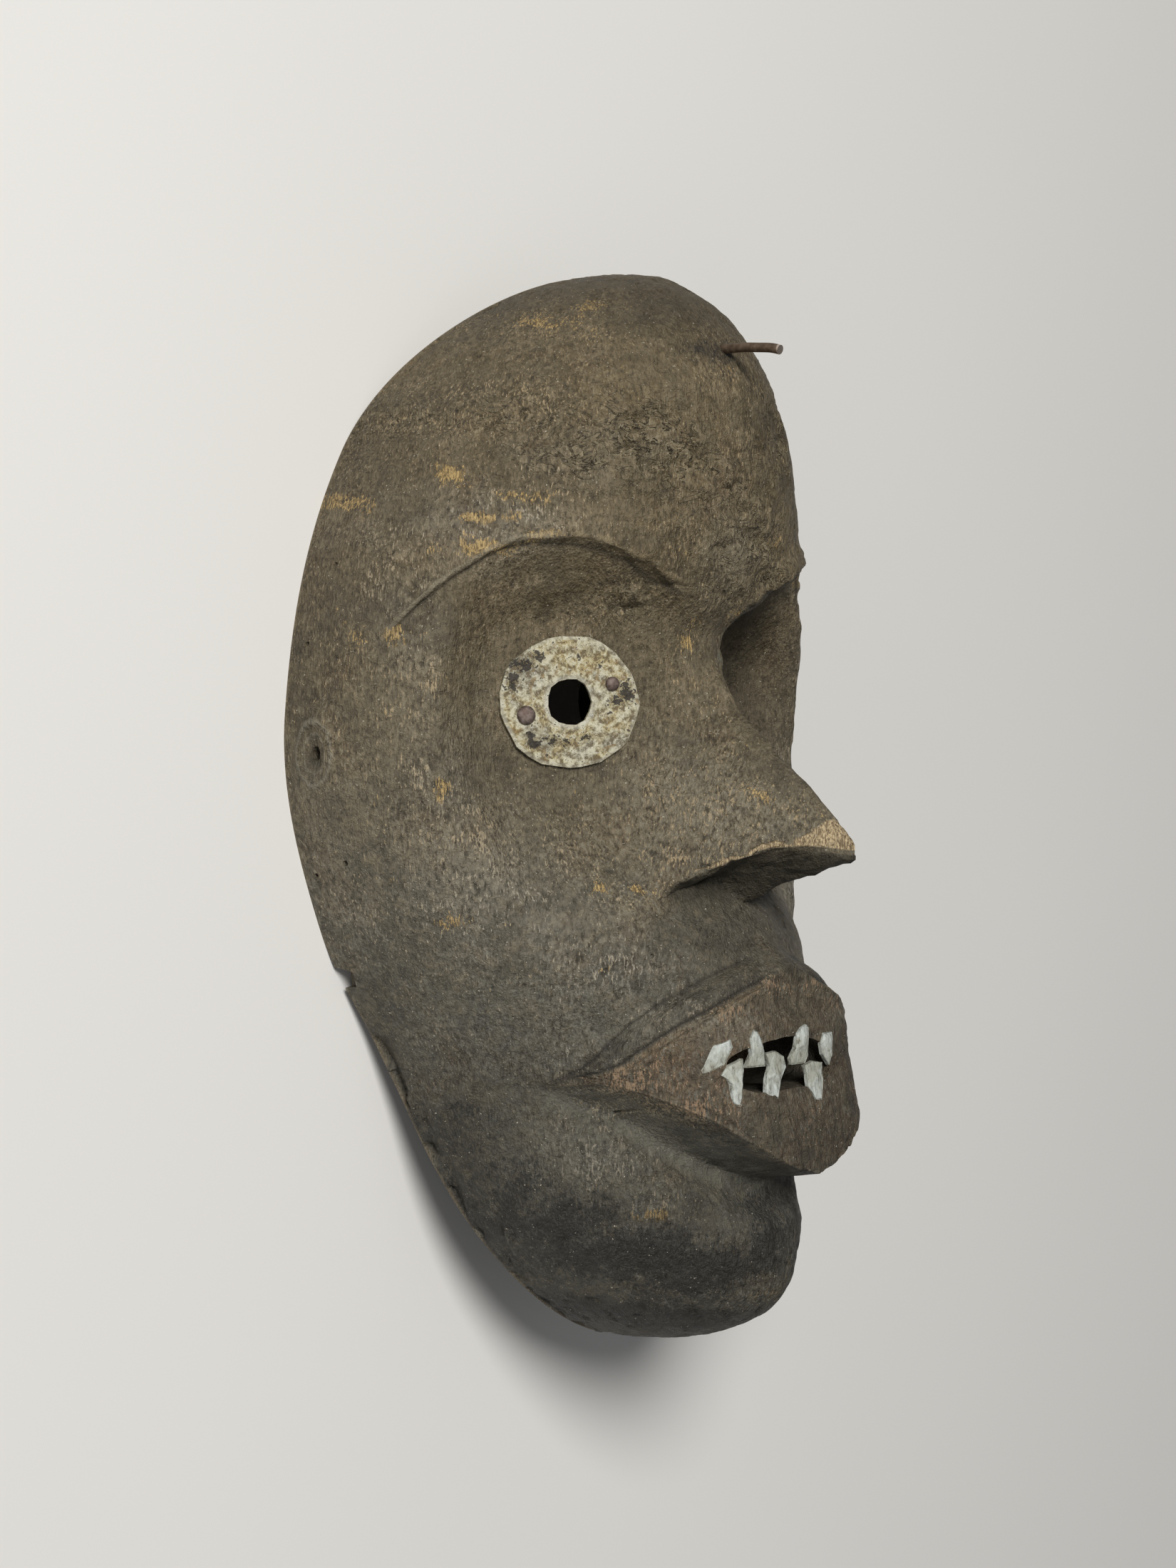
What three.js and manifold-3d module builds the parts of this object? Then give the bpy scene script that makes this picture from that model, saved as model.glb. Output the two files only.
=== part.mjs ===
import * as THREE from 'three';
import Module from 'manifold-3d';

// Millimetres. The mask lies face up on its back rim: +Z out of the face, +Y toward the crown, X across.
const HEIGHT = 250;
const TOP = HEIGHT / 2;
const SIDE_REACH = 79.5;          // half the width at the cheekbones
const DEPTH = 98.6;               // from the rim to the tip of the nose
const JAW_REACH = 61.5;           // half the width the jaw tapers to
const CROWN_LIFT = 27;            // how far the rim curves forward at the crown
const CHIN_LIFT = 33;

// The features below are drawn on a mask 250 tall, 159 wide and 98.6 deep, and stretched with it.
const TALL = TOP / 125;
const WIDE = SIDE_REACH / 79.5;
const DEEP = DEPTH / 98.6;
const GAP = 0.3;                  // clearance between pieces that touch

const RIM_WALL = 8.7;             // wood left at the rim
const CROWN_WALL = 8;             // and at the crown and the chin
const HOLLOW_DROP = 6;            // the hollow is cut past the rim by this much

const EYES = {
  right: { side: -1, x: 0.4075 * SIDE_REACH, y: 0.1856 * TOP, z: 0.4391 * DEPTH },
  left: { side: 1, x: 0.3434 * SIDE_REACH, y: 0.1856 * TOP, z: 0.3955 * DEPTH },
};
const TILT = THREE.MathUtils.degToRad(31);
const DISC = { across: 16.6, tall: 15.0, thick: 1.0, hole: 5.3, sides: 23 };
const SEAT_FLAT = 17;             // wood dressed flat under each disc
const SEAT_FADE = 11;
const SIGHT_HOLE = { front: 6.8, back: 16 };
const NAILS = [
  { u: -10.4, v: -3.1, head: 2.15 },
  { u: 10.0, v: 4.15, head: 1.65 },
];
const NAIL = { shank: 0.8, length: 5.2, headHeight: 0.9 };

const MOUTH = { x: -0.0553 * SIDE_REACH, y: -0.4656 * TOP, reach: 0.2138 * SIDE_REACH, half: 0.0416 * TOP, power: 2.8, arch: 0.9 };
const TOOTH = { proud: 1.0, sunk: 0.9 };
// Each tooth's outline as it lies on the lips.
const TEETH = {
  tooth_upper_1: [[-24.2, -52.4], [-24.8, -54.5], [-25.9, -57.8], [-25.8, -58.5], [-22.4, -56.8], [-20.7, -52.9], [-21.1, -51.2]],
  tooth_upper_2: [[-14.8, -49.5], [-16.2, -51.4], [-15.9, -54.8], [-17.4, -57.6], [-12.0, -57.6], [-12.5, -53.3], [-13.9, -49.8]],
  tooth_upper_3: [[1.3, -50.0], [-0.4, -51.2], [-1.4, -54.5], [-3.3, -56.6], [-3.0, -58.0], [2.0, -58.0], [3.2, -56.4], [4.1, -50.2], [3.4, -49.5]],
  tooth_upper_4: [[10.2, -51.9], [8.8, -54.1], [9.4, -56.7], [11.9, -59.3], [13.4, -57.1], [14.0, -53.6], [13.8, -51.9]],
  tooth_lower_1: [[-23.0, -58.9], [-21.7, -59.8], [-21.0, -61.0], [-21.0, -64.9], [-20.1, -65.8], [-19.4, -65.8], [-18.1, -58.0], [-18.3, -55.5], [-21.5, -57.0]],
  tooth_lower_2: [[-11.7, -54.8], [-10.5, -57.8], [-11.7, -60.3], [-12.6, -63.7], [-11.1, -64.9], [-9.2, -64.9], [-7.1, -60.8], [-5.1, -58.3], [-5.8, -55.9], [-8.5, -54.5]],
  tooth_lower_3: [[1.8, -58.5], [2.4, -60.6], [2.2, -63.3], [4.7, -66.4], [6.6, -66.6], [8.6, -62.2], [8.6, -60.3], [9.0, -58.4], [5.3, -57.8]],
};

const SPIKE = { x: -0.0327 * SIDE_REACH, y: 0.8336 * TOP, radius: 1.1, out: 15.6, sunk: 9 };
const KNOT = { x: -0.9836 * SIDE_REACH, y: 0.0912 * TOP, z: 0.0872 * DEPTH, radius: 1.7, depth: 5 };
const NOTCH = { x: -0.7975 * SIDE_REACH, y: -0.316 * TOP, long: 8, deep: 4.2, tall: 5 };

const clip = (t, lo = 0, hi = 1) => Math.min(hi, Math.max(lo, t));
const smooth = (t) => {
  const s = clip(t);
  return s * s * (3 - 2 * s);
};
const bump = (t) => clip(1 - t * t, 0, 1) ** 2;

// Smooth monotone curve through stations [[at, value], ...] in rising order.
function curve(stations) {
  const step = (i) => stations[i + 1][0] - stations[i][0];
  const rise = (i) => (stations[i + 1][1] - stations[i][1]) / step(i);
  const last = stations.length - 1;
  const slope = stations.map((_, i) => {
    if (i === 0) return rise(0);
    if (i === last) return rise(last - 1);
    const a = rise(i - 1);
    const b = rise(i);
    return a * b <= 0 ? 0 : (2 * a * b) / (a + b);
  });
  return (at) => {
    const v = clip(at, stations[0][0], stations[last][0]);
    let i = 0;
    while (i < last - 1 && v >= stations[i + 1][0]) i += 1;
    const h = step(i);
    const t = (v - stations[i][0]) / h;
    const from = stations[i][1] * (1 + 2 * t) * (1 - t) ** 2 + slope[i] * h * t * (1 - t) ** 2;
    const to = stations[i + 1][1] * t * t * (3 - 2 * t) + slope[i + 1] * h * t * t * (t - 1);
    return from + to;
  };
}

// Outline, rim and the crest line down the middle of the face.
const halfWidth = (y) => {
  const full = 2 + 0.12 * bump((y - 42) / 50);
  const worn = 1.7 * smooth((-34 - y) / 20) * smooth((y + 100) / 35);
  const jaw = JAW_REACH / WIDE;
  return Math.sqrt(clip(1 - Math.abs(y / 125) ** full)) * (jaw + (79.5 - jaw) * smooth((y + 70) / 90)) - worn;
};
const rim = (y) => (CROWN_LIFT * clip((y - 80) / 45) ** 2 + CHIN_LIFT * clip((-28 - y) / 97) ** 1.5) / DEEP;
const crest = curve([
  [-125, 33], [-124, 51], [-120, 65], [-115, 73], [-108, 77], [-98, 77.5], [-88, 75], [-72, 75], [-50, 77],
  [-30, 78], [-15, 74], [5, 65], [22, 61.5], [42, 62.5], [58, 66.5], [78, 69], [92, 68.5], [104, 65],
  [114, 58.5], [121, 49.5], [124, 41], [125, 28],
]);
const roundness = curve([
  [-125, 2], [-100, 1.9], [-60, 1.6], [-35, 1.62], [-20, 1.72], [5, 1.85], [20, 2.3], [29, 3], [36, 3.6], [44, 3.5],
  [50, 2.75], [58, 2.2], [66, 2.05], [80, 2], [125, 2],
]);
const roundRight = curve([
  [-125, 2], [-100, 1.9], [-60, 1.6], [-20, 1.68], [5, 1.72], [20, 1.76], [36, 1.85], [50, 1.95], [66, 2.02], [80, 2],
  [125, 2],
]);
const lean = curve([[-125, 1], [-95, 2.5], [-70, 3], [-40, 0.5], [-20, 0], [125, 0]]);

function shell(x, y) {
  const reach = Math.max(halfWidth(y), 1e-6);
  const low = rim(y);
  const high = Math.max(crest(y), low + 0.01);
  const flat = clip(x / reach, -1, 1);
  const t = Math.abs(flat - (lean(y) / Math.max(reach, 8)) * (1 - flat * flat));
  return low + (high - low) * Math.sqrt(1 - clip(t) ** (x < 0 ? roundRight : roundness)(y));
}

// Hollow around each eye, under an arched brow, down to a floor carved a little deeper on the left.
const brow = curve([
  [0, 46.5], [4, 46.7], [10, 47.7], [14, 49], [19, 50.4], [26, 53.6], [32, 56.2], [38, 58], [44, 58.8], [50, 58.4],
  [54, 57.2], [60.5, 51.6], [64, 47.5], [68, 41.5], [72, 33], [76, 20],
]);
const floorRight = curve([
  [0, 55], [9, 54], [18, 51], [32.4, 43.3], [41, 38.2], [46, 35.6], [50, 34.2], [54, 33.6], [59, 33.6], [64, 33.5],
  [70, 31], [75, 25], [80, 8],
]);
const floorLeft = curve([
  [0, 55], [7, 51.4], [13, 47.5], [27.3, 39], [36, 33.8], [41, 31.3], [46, 30.2], [51, 31], [58, 34], [65, 36],
  [70, 33.7], [75, 26], [80, 8],
]);
function sunk(x, y) {
  const ax = Math.abs(x);
  const below = brow(ax) - y;
  const up = 0.36 * smooth(below / 8) + 0.64 * smooth(below / 25);
  const outer = smooth((ax - 44) / 20);
  const down = 1 - smooth((14 + 8 * outer - y) / (60 - 16 * outer));
  const edge = 0.9 * bump((below + 1.5) / 5) * smooth((ax - 14) / 14) * smooth((64 - ax) / 14);
  const z = shell(x, y);
  return z + Math.min((x < 0 ? floorRight(ax) : floorLeft(ax)) - z, 0) * up * down + edge;
}

// Wedge of a nose, cut off square below.
const ridge = curve([
  [-21, 96], [-15, 98], [-12.5, 98.6], [-9.5, 98.6], [-5.7, 96.3], [3, 88], [9.2, 80.8], [14.2, 74.6], [17.7, 70.8],
  [21, 67.4], [25, 65], [28, 63], [32.5, 60.6], [37, 59.2], [42, 58.4], [46, 59], [50, 60.8], [58, 64.5],
]);
const noseReach = curve([[-24, 25.5], [-14, 24.5], [0, 22], [10, 17.5], [22, 12.6], [35, 11], [50, 9], [60, 8]]);
const noseEdge = (ax) => {
  const s = clip(ax / 23.5);
  return -10 - 9.5 * s ** 2.4 + 1.5 * bump((s - 0.35) / 0.35);
};
function nose(ax, y, base) {
  const t = clip(ax / noseReach(y));
  const r = 0.2;
  const side = clip(1 - (Math.hypot(t, r) - r) / (Math.hypot(1, r) - r)) ** 1.3;
  const cut = noseEdge(ax) - 2 * smooth((9 - ax) / 9);
  const deep = 8.2 * (1 - clip(ax / 23.5)) + 2;
  const under = y < cut ? clip(1 - (cut - y) / deep) ** 0.9 : 1;
  const wing = 2.2 * bump((y - cut - 2.5) / 6.5) * bump((ax / 23.5 - 0.68) / 0.42);
  return Math.max(ridge(y) - base, 0) * side * smooth((60 - y) / 14) * under + wing;
}

// Lips stand forward as one broad flat-faced block.
const lipLine = curve([
  [-90, 82], [-85, 85.6], [-80, 85.8], [-75, 85.2], [-66, 83.6], [-59, 82.3], [-52, 82], [-44, 80.5], [-36, 80],
  [-30, 79],
]);
const lipDrop = curve([[0, 0], [10, 0.4], [19, 1.9], [26, 5.5], [32, 13], [38, 23], [42, 31], [47, 46]]);
const lipTop = curve([[0, -35.8], [6, -38], [19, -42.6], [28, -47.8], [33.5, -53.2], [38, -58.2], [42, -61], [55, -66]]);
const lipFoot = curve([
  [0, -82.6], [6, -81.2], [12.5, -78.8], [17, -76.4], [22.5, -73], [29.5, -67.8], [36, -63.2], [42, -61], [55, -56],
]);
function lips(x, y, base) {
  const ax = Math.abs(x - lean(y));
  const proud = Math.max(lipLine(y) - lipDrop(ax) - base, 0) + 1.5 * smooth((46 - ax) / 6);
  const above = clip(1 - (y - lipTop(ax)) / 7) ** 1.6;
  const below = clip(1 - (lipFoot(ax) - y) / 3.4) ** 1.6;
  return proud * Math.min(above, below) * smooth((50 - ax) / 8);
}
function groove(x, y) {
  const ax = Math.abs(x - lean(y));
  return 3.0 * bump((y - lipFoot(ax) + 5) / 8.5) * smooth((48 - ax) / 14);
}

function seat(x, y, z) {
  const eye = x < 0 ? EYES.right : EYES.left;
  const ax = Math.abs(x);
  const w = 1 - smooth((Math.hypot((ax - eye.x) / Math.cos(TILT), y - eye.y) - SEAT_FLAT) / SEAT_FADE);
  return z * (1 - w) + (eye.z + Math.tan(TILT) * (eye.x - ax)) * w;
}

function face(x, y) {
  const u = x / WIDE;
  const v = y / TALL;
  let z = seat(x, y, DEEP * sunk(u, v));
  z += DEEP * (nose(Math.abs(u), v, sunk(0, v)) - groove(u, v));
  return z + DEEP * lips(u, v, z / DEEP);
}

// Mesh rows bend to run along the lips, the nose edge and the brow: each anchor is a reference height and where it
// goes this far out from the middle.
const bends = [
  { at: -125, to: () => -125 },
  { at: -106, to: () => -106 },
  { at: -83, to: (lx) => Math.min(lipFoot(lx), -60.5) - 18 * smooth((lx - 43) / 16) },
  { at: -59, to: () => -58 },
  { at: -35.5, to: (lx) => Math.max(lipTop(lx), -54.5) + 16 * smooth((lx - 43) / 16) },
  { at: -10, to: (lx, ax) => noseEdge(ax) + 5 * smooth((ax - 24) / 14) },
  { at: 14, to: () => 14 },
  { at: 44, to: (lx, ax) => Math.max(brow(ax), 38) },
  { at: 72, to: () => 74 },
  { at: 125, to: () => 125 },
];
function bend(y, x) {
  const lx = Math.abs(x - lean(y));
  const ax = Math.abs(x);
  let i = 0;
  while (i < bends.length - 2 && y > bends[i + 1].at) i += 1;
  const t = (y - bends[i].at) / (bends[i + 1].at - bends[i].at);
  return bends[i].to(lx, ax) * (1 - t) + bends[i + 1].to(lx, ax) * t;
}

// The hollow behind follows the face loosely and is left plain.
const hollowTop = 125 - CROWN_WALL / TALL;
const hollowCrest = curve([
  [-117, 28], [-112, 46], [-100, 60], [-80, 62], [-55, 60.5], [-25, 52], [5, 33], [25, 30], [45, 37], [65, 51],
  [85, 55], [100, 50], [111, 40], [117, 26],
]);
const hollowReach = (y) => halfWidth((y * 125) / hollowTop) * (1 - RIM_WALL / SIDE_REACH);
function hollow(x, y) {
  const reach = Math.max(hollowReach(y / TALL), 1e-6);
  const low = DEEP * rim(y / TALL) - HOLLOW_DROP;
  return low + (DEEP * hollowCrest(y / TALL) - low) * Math.sqrt(1 - clip(Math.abs(x / WIDE) / reach) ** 2.4);
}

// Spreads n+1 stations between lo and hi so that they crowd where density is high.
function spread(n, lo, hi, density) {
  const fine = 4000;
  const sum = [0];
  for (let i = 0; i < fine; i += 1) {
    sum.push(sum[i] + density(lo + ((hi - lo) * (i + 0.5)) / fine));
  }
  const out = [];
  let k = 0;
  for (let i = 0; i <= n; i += 1) {
    const want = (sum[fine] * i) / n;
    while (k < fine && sum[k + 1] < want) k += 1;
    const part = k < fine ? (want - sum[k]) / (sum[k + 1] - sum[k]) : 0;
    out.push(lo + ((hi - lo) * (k + part)) / fine);
  }
  return out;
}

const wasm = await Module();
wasm.setup();
const solid = (points, faces) =>
  new wasm.Manifold(
    new wasm.Mesh({ numProp: 3, vertProperties: new Float32Array(points.flat()), triVerts: new Uint32Array(faces.flat()) })
  );

// Closed body under a height surface: rows run from the chin pole to the crown pole, columns from side to side.
function mound(rows, turns, reach, height, warp) {
  const last = rows.length - 1;
  const wide = turns.length;
  const lay = (x, y) => [x * WIDE, y * TALL, height(x * WIDE, y * TALL)];
  const points = [lay(0, rows[0])];
  for (let i = 1; i < last; i += 1) {
    for (const turn of turns) {
      let y = rows[i];
      for (let k = 0; k < 3; k += 1) {
        y = warp(rows[i], reach(y) * Math.sin(turn));
      }
      points.push(lay(reach(y) * Math.sin(turn), y));
    }
  }
  points.push(lay(0, rows[last]));
  const end = points.length - 1;
  const at = (i, j) => 1 + (i - 1) * wide + j;
  const faces = [];
  for (let j = 0; j < wide - 1; j += 1) {
    faces.push([0, at(1, j + 1), at(1, j)]);
    faces.push([end, at(last - 1, j), at(last - 1, j + 1)]);
    for (let i = 1; i < last - 1; i += 1) {
      faces.push([at(i, j), at(i, j + 1), at(i + 1, j + 1)]);
      faces.push([at(i, j), at(i + 1, j + 1), at(i + 1, j)]);
    }
  }
  faces.push([0, at(1, 0), at(1, wide - 1)]);
  faces.push([end, at(last - 1, wide - 1), at(last - 1, 0)]);
  for (let i = 1; i < last - 1; i += 1) {
    faces.push([at(i, 0), at(i + 1, 0), at(i + 1, wide - 1)]);
    faces.push([at(i, 0), at(i + 1, wide - 1), at(i, wide - 1)]);
  }
  return solid(points, faces);
}

// Closed body through rings of equal count, each turning the same way seen from its far end.
function loft(rings) {
  const n = rings[0].length;
  const points = rings.flat();
  const mean = (ring) => [0, 1, 2].map((k) => ring.reduce((s, p) => s + p[k], 0) / n);
  points.push(mean(rings[0]), mean(rings[rings.length - 1]));
  const first = points.length - 2;
  const top = (rings.length - 1) * n;
  const faces = [];
  for (let j = 0; j < n; j += 1) {
    const k = (j + 1) % n;
    faces.push([first, k, j]);
    faces.push([first + 1, top + j, top + k]);
    for (let i = 0; i < rings.length - 1; i += 1) {
      faces.push([i * n + j, i * n + k, (i + 1) * n + k]);
      faces.push([i * n + j, (i + 1) * n + k, (i + 1) * n + j]);
    }
  }
  return solid(points, faces);
}

const circle = (radius, n) =>
  Array.from({ length: n }, (_, i) => [
    radius * Math.cos((2 * Math.PI * i) / n),
    radius * Math.sin((2 * Math.PI * i) / n),
  ]);
const rise = (ring, z) => ring.map(([x, y]) => [x, y, z]);

// Local frame of an eye disc: u outward across, v up the face, w along the disc's own normal.
function onEye({ side, x, y, z }) {
  const c = Math.cos(TILT);
  const s = Math.sin(TILT);
  return ([u, v, w]) => [side * x + u * c + side * w * s, y + v, z - side * u * s + w * c];
}
const place = (rings, map) => rings.map((ring) => ring.map(map));

const colours = {
  wood: new THREE.MeshStandardMaterial({ color: 0x4a3a2c, roughness: 0.72, metalness: 0 }),
  sheet: new THREE.MeshStandardMaterial({ color: 0xaaa593, roughness: 0.6, metalness: 0.6 }),
  nail: new THREE.MeshStandardMaterial({ color: 0x5a4a40, roughness: 0.6, metalness: 0.8 }),
  tooth: new THREE.MeshStandardMaterial({ color: 0xb9bdb8, roughness: 0.5, metalness: 0 }),
};
const part = new THREE.Group();
function show(name, body, material) {
  const mesh = body.getMesh();
  const geometry = new THREE.BufferGeometry();
  geometry.setAttribute('position', new THREE.BufferAttribute(new Float32Array(mesh.vertProperties), 3));
  geometry.setIndex(new THREE.BufferAttribute(new Uint32Array(mesh.triVerts), 1));
  geometry.computeVertexNormals();
  const node = new THREE.Mesh(geometry, material);
  node.name = name;
  part.add(node);
}

// Carved body.
const rowDensity = (y) =>
  (1 / Math.sqrt(Math.max(1 - (y / 125) ** 2, 0.004))) *
  (0.7 + 1.7 * bump((y + 12) / 8) + 1.0 * bump((y + 36) / 9) + 1.5 * bump((y + 85) / 8) + 1.6 * bump((y - 42) / 8));
const columnDensity = (t) => 0.8 + 1.5 * bump(t / 0.5);
const rows = spread(54, -125, 125, rowDensity);
const turns = spread(40, -Math.PI / 2, Math.PI / 2, columnDensity);
let body = mound(rows, turns, halfWidth, face, bend);

const hollowDensity = (y) => 1 / Math.sqrt(Math.max(1 - (y / hollowTop) ** 2, 0.01));
const hollowRows = spread(24, -hollowTop, hollowTop, hollowDensity);
const hollowTurns = spread(22, -Math.PI / 2, Math.PI / 2, () => 1);
body = body.subtract(mound(hollowRows, hollowTurns, hollowReach, hollow, (y) => y));

// Eye discs, their nails, and the sight holes behind them.
for (const [word, eye] of Object.entries(EYES)) {
  const map = onEye(eye);
  const dress = rise(circle(DISC.across + 0.9, 24), 0);
  body = body.subtract(loft(place([dress, rise(circle(DISC.across + 2.5, 24), 8)], map)));
  const sight = [rise(circle(SIGHT_HOLE.back, 18), -22), rise(circle(SIGHT_HOLE.front, 18), 0), rise(circle(SIGHT_HOLE.front, 18), 6)];
  body = body.subtract(loft(place(sight, map)));

  const cut = Array.from({ length: DISC.sides }, (_, i) => {
    const a = (2 * Math.PI * (i + 0.28 * Math.sin(2.3 * i))) / DISC.sides;
    const snip = 1 + 0.014 * Math.sin(5.1 * i + 0.6) + 0.008 * Math.cos(2.7 * i);
    return [DISC.across * snip * Math.cos(a), DISC.tall * snip * Math.sin(a)];
  });
  let disc = loft(place([rise(cut, GAP), rise(cut, GAP + DISC.thick)], map));
  const pupil = Array.from({ length: 15 }, (_, i) => {
    const r = DISC.hole * (1 + 0.035 * Math.sin(4.4 * i));
    return [r * Math.cos((2 * Math.PI * i) / 15), r * Math.sin((2 * Math.PI * i) / 15)];
  });
  disc = disc.subtract(loft(place([rise(pupil, -2), rise(pupil, 4)], map)));

  NAILS.forEach((nail, i) => {
    const at = (ring, w) => ring.map(([u, v]) => map([-eye.side * nail.u + u, nail.v + v, w]));
    const hole = loft([at(circle(NAIL.shank + GAP, 8), -NAIL.length - GAP), at(circle(NAIL.shank + GAP, 8), 4)]);
    disc = disc.subtract(hole);
    body = body.subtract(hole);
    const under = 2 * GAP + DISC.thick;
    const shank = loft([at(circle(0.25, 8), -NAIL.length), at(circle(NAIL.shank, 8), -NAIL.length + 2), at(circle(NAIL.shank, 8), under + 0.3)]);
    const head = loft([
      at(circle(nail.head, 12), under),
      at(circle(nail.head, 12), under + NAIL.headHeight * 0.45),
      at(circle(nail.head * 0.66, 12), under + NAIL.headHeight),
    ]);
    show(`disc_nail_${word}_${i === 0 ? 'outer' : 'inner'}`, shank.add(head), colours.nail);
  });
  show(`eye_disc_${word}`, disc, colours.sheet);
}

// Mouth opening, flared inward.
const slit = (grow, z) =>
  Array.from({ length: 28 }, (_, i) => {
    const a = (2 * Math.PI * i) / 28;
    const c = Math.cos(a);
    const s = Math.sin(a);
    const u = Math.sign(c) * Math.abs(c) ** (2 / MOUTH.power);
    const v = Math.sign(s) * Math.abs(s) ** (2 / MOUTH.power);
    const bow = MOUTH.arch * (1 - u * u) * (s > 0 ? 1 : 0.2);
    return [MOUTH.x + (MOUTH.reach + grow) * u, MOUTH.y + (MOUTH.half + 0.4 * grow) * v + bow, z];
  });
body = body.subtract(loft([slit(6, 40), slit(0.5, 74), slit(0, 100)]));

// Teeth: flat slivers laid on the lips, set in pockets of their own outline.
function sliver(outline, grow, back, front) {
  const flat = new wasm.CrossSection([outline.map(([x, y]) => [x * WIDE, y * TALL])]);
  return flat
    .offset(grow, 'Miter', 2)
    .extrude(1)
    .warp((p) => {
      p[2] = face(p[0], p[1]) + (p[2] > 0.5 ? front : back);
    });
}
for (const [name, outline] of Object.entries(TEETH)) {
  body = body.subtract(sliver(outline, GAP, -TOOTH.sunk - GAP, 4));
  show(name, sliver(outline, 0, -TOOTH.sunk, TOOTH.proud), colours.tooth);
}

// Bent nail driven into the forehead, its bore, the knot hole and the chipped notch in the rim.
const brink = face(SPIKE.x, SPIKE.y);
const spikeLine = [[-SPIKE.sunk, 0], [-2, 0], [SPIKE.out * 0.3, 0.2], [SPIKE.out * 0.6, 0.7], [SPIKE.out * 0.84, 1.2], [SPIKE.out, 1.9]];
const spikeRings = (radius, stations) =>
  stations.map(([out, sag]) => rise(circle(radius, 12), 0).map(([x, y]) => [SPIKE.x + x, SPIKE.y + y - sag, brink + out]));
show('bent_nail', loft(spikeRings(SPIKE.radius, spikeLine)), colours.nail);
body = body.subtract(loft(spikeRings(SPIKE.radius + GAP, [[-SPIKE.sunk - GAP, 0], [6, 0]])));

const knot = circle(KNOT.radius, 12);
body = body.subtract(loft([
  knot.map(([a, b]) => [KNOT.x - 3, KNOT.y + b, KNOT.z - a]),
  knot.map(([a, b]) => [KNOT.x + KNOT.depth, KNOT.y + b * 0.6, KNOT.z - a * 0.6]),
]));
const nick = (x, half, up) => [
  [x, NOTCH.y - half, -1], [x, NOTCH.y + half, -1], [x, NOTCH.y + half * 0.7, up], [x, NOTCH.y - half * 0.7, up],
];
body = body.subtract(loft([
  nick(NOTCH.x - 12, NOTCH.long * 0.7, NOTCH.tall + 3),
  nick(NOTCH.x + NOTCH.deep, NOTCH.long * 0.22, NOTCH.tall),
]));
show('mask_body', body, colours.wood);

export default part;
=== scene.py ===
import bmesh
import bpy
import numpy as np
from mathutils import Matrix, Vector


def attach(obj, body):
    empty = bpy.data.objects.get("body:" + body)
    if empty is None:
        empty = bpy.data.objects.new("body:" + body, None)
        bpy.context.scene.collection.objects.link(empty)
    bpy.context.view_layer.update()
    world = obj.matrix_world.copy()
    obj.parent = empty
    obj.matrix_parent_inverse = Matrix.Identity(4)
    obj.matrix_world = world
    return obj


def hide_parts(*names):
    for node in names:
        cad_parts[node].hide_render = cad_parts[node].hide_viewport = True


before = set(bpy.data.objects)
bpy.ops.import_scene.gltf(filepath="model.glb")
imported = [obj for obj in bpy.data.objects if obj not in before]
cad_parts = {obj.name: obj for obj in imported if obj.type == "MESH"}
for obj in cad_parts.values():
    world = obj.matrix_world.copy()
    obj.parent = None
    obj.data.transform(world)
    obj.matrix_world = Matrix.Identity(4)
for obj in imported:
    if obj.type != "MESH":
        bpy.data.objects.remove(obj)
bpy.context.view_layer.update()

# Mask body. One block of pale hardwood carved with adze and knife, blackened, and handled until the grain
# shows on every edge. The back is hollowed to fit a face, and it lies loose on its own rim. Sizes are in mm,
# with x to the mask's own left, y to the crown and z out of the face.
TOP = 125.0
SIDE_REACH, JAW_REACH = 79.5, 61.5
CROWN_LIFT, CHIN_LIFT = 27.0, 33.0
FLAT_UP, FLAT_DOWN = 80.0, -28.0
RIM_WALL, HOLLOW_TOP, HOLLOW_DROP = 8.7, 117.0, 6.0
EYE_X, EYE_Y, EYE_Z = {-1: 32.4, 1: 27.3}, 23.2, {-1: 43.3, 1: 39.0}
EYE_TILT = np.radians(31.0)
MOUTH_X, MOUTH_Y, MOUTH_REACH, MOUTH_HALF = -4.4, -58.2, 17.0, 5.2
KNOT, KNOT_TALL, KNOT_DEEP = np.array([-78.2, 11.4, 8.6]), 7.0, 4.3
RIM_WORMS = [
    (-76.3, 35.8, 5.0, 0.7), (-71.6, -12.7, 12.8, 0.8), (-72.4, -15.6, 4.0, 0.7), (-71.3, 53.5, 9.4, 0.6)]
FACE_WORMS = [(-29.3, -68.1, 57.1, 0.7), (-28.7, -33.2, 64.9, 0.5), (-10.0, 30.4, 59.1, 0.5)]
NOTCH_Y, NOTCH = -39.5, [(-75.4, 5.6, 8.0), (-59.2, 1.76, 5.0)]
ROWS, TURNS, HOLLOW_ROWS, HOLLOW_TURNS = 392, 206, 130, 92


def clip(t, lo=0.0, hi=1.0):
    return np.clip(t, lo, hi)


def smooth(t):
    t = clip(t)
    return t * t * (3 - 2 * t)


def bump(t):
    return clip(1 - t * t) ** 2


def curve(stations):
    at, value = np.array(stations, float).T
    rise = np.diff(value) / np.diff(at)
    mid = [0.0 if a * b <= 0 else 2 * a * b / (a + b) for a, b in zip(rise, rise[1:])]
    slope = np.array([rise[0], *mid, rise[-1]])

    def along(v):
        v = clip(v, at[0], at[-1])
        i = clip(np.searchsorted(at, v, side="right") - 1, 0, len(at) - 2)
        h = at[i + 1] - at[i]
        t = (v - at[i]) / h
        start = value[i] * (1 + 2 * t) * (1 - t) ** 2 + slope[i] * h * t * (1 - t) ** 2
        return start + value[i + 1] * t * t * (3 - 2 * t) + slope[i + 1] * h * t * t * (t - 1)

    return along


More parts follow.
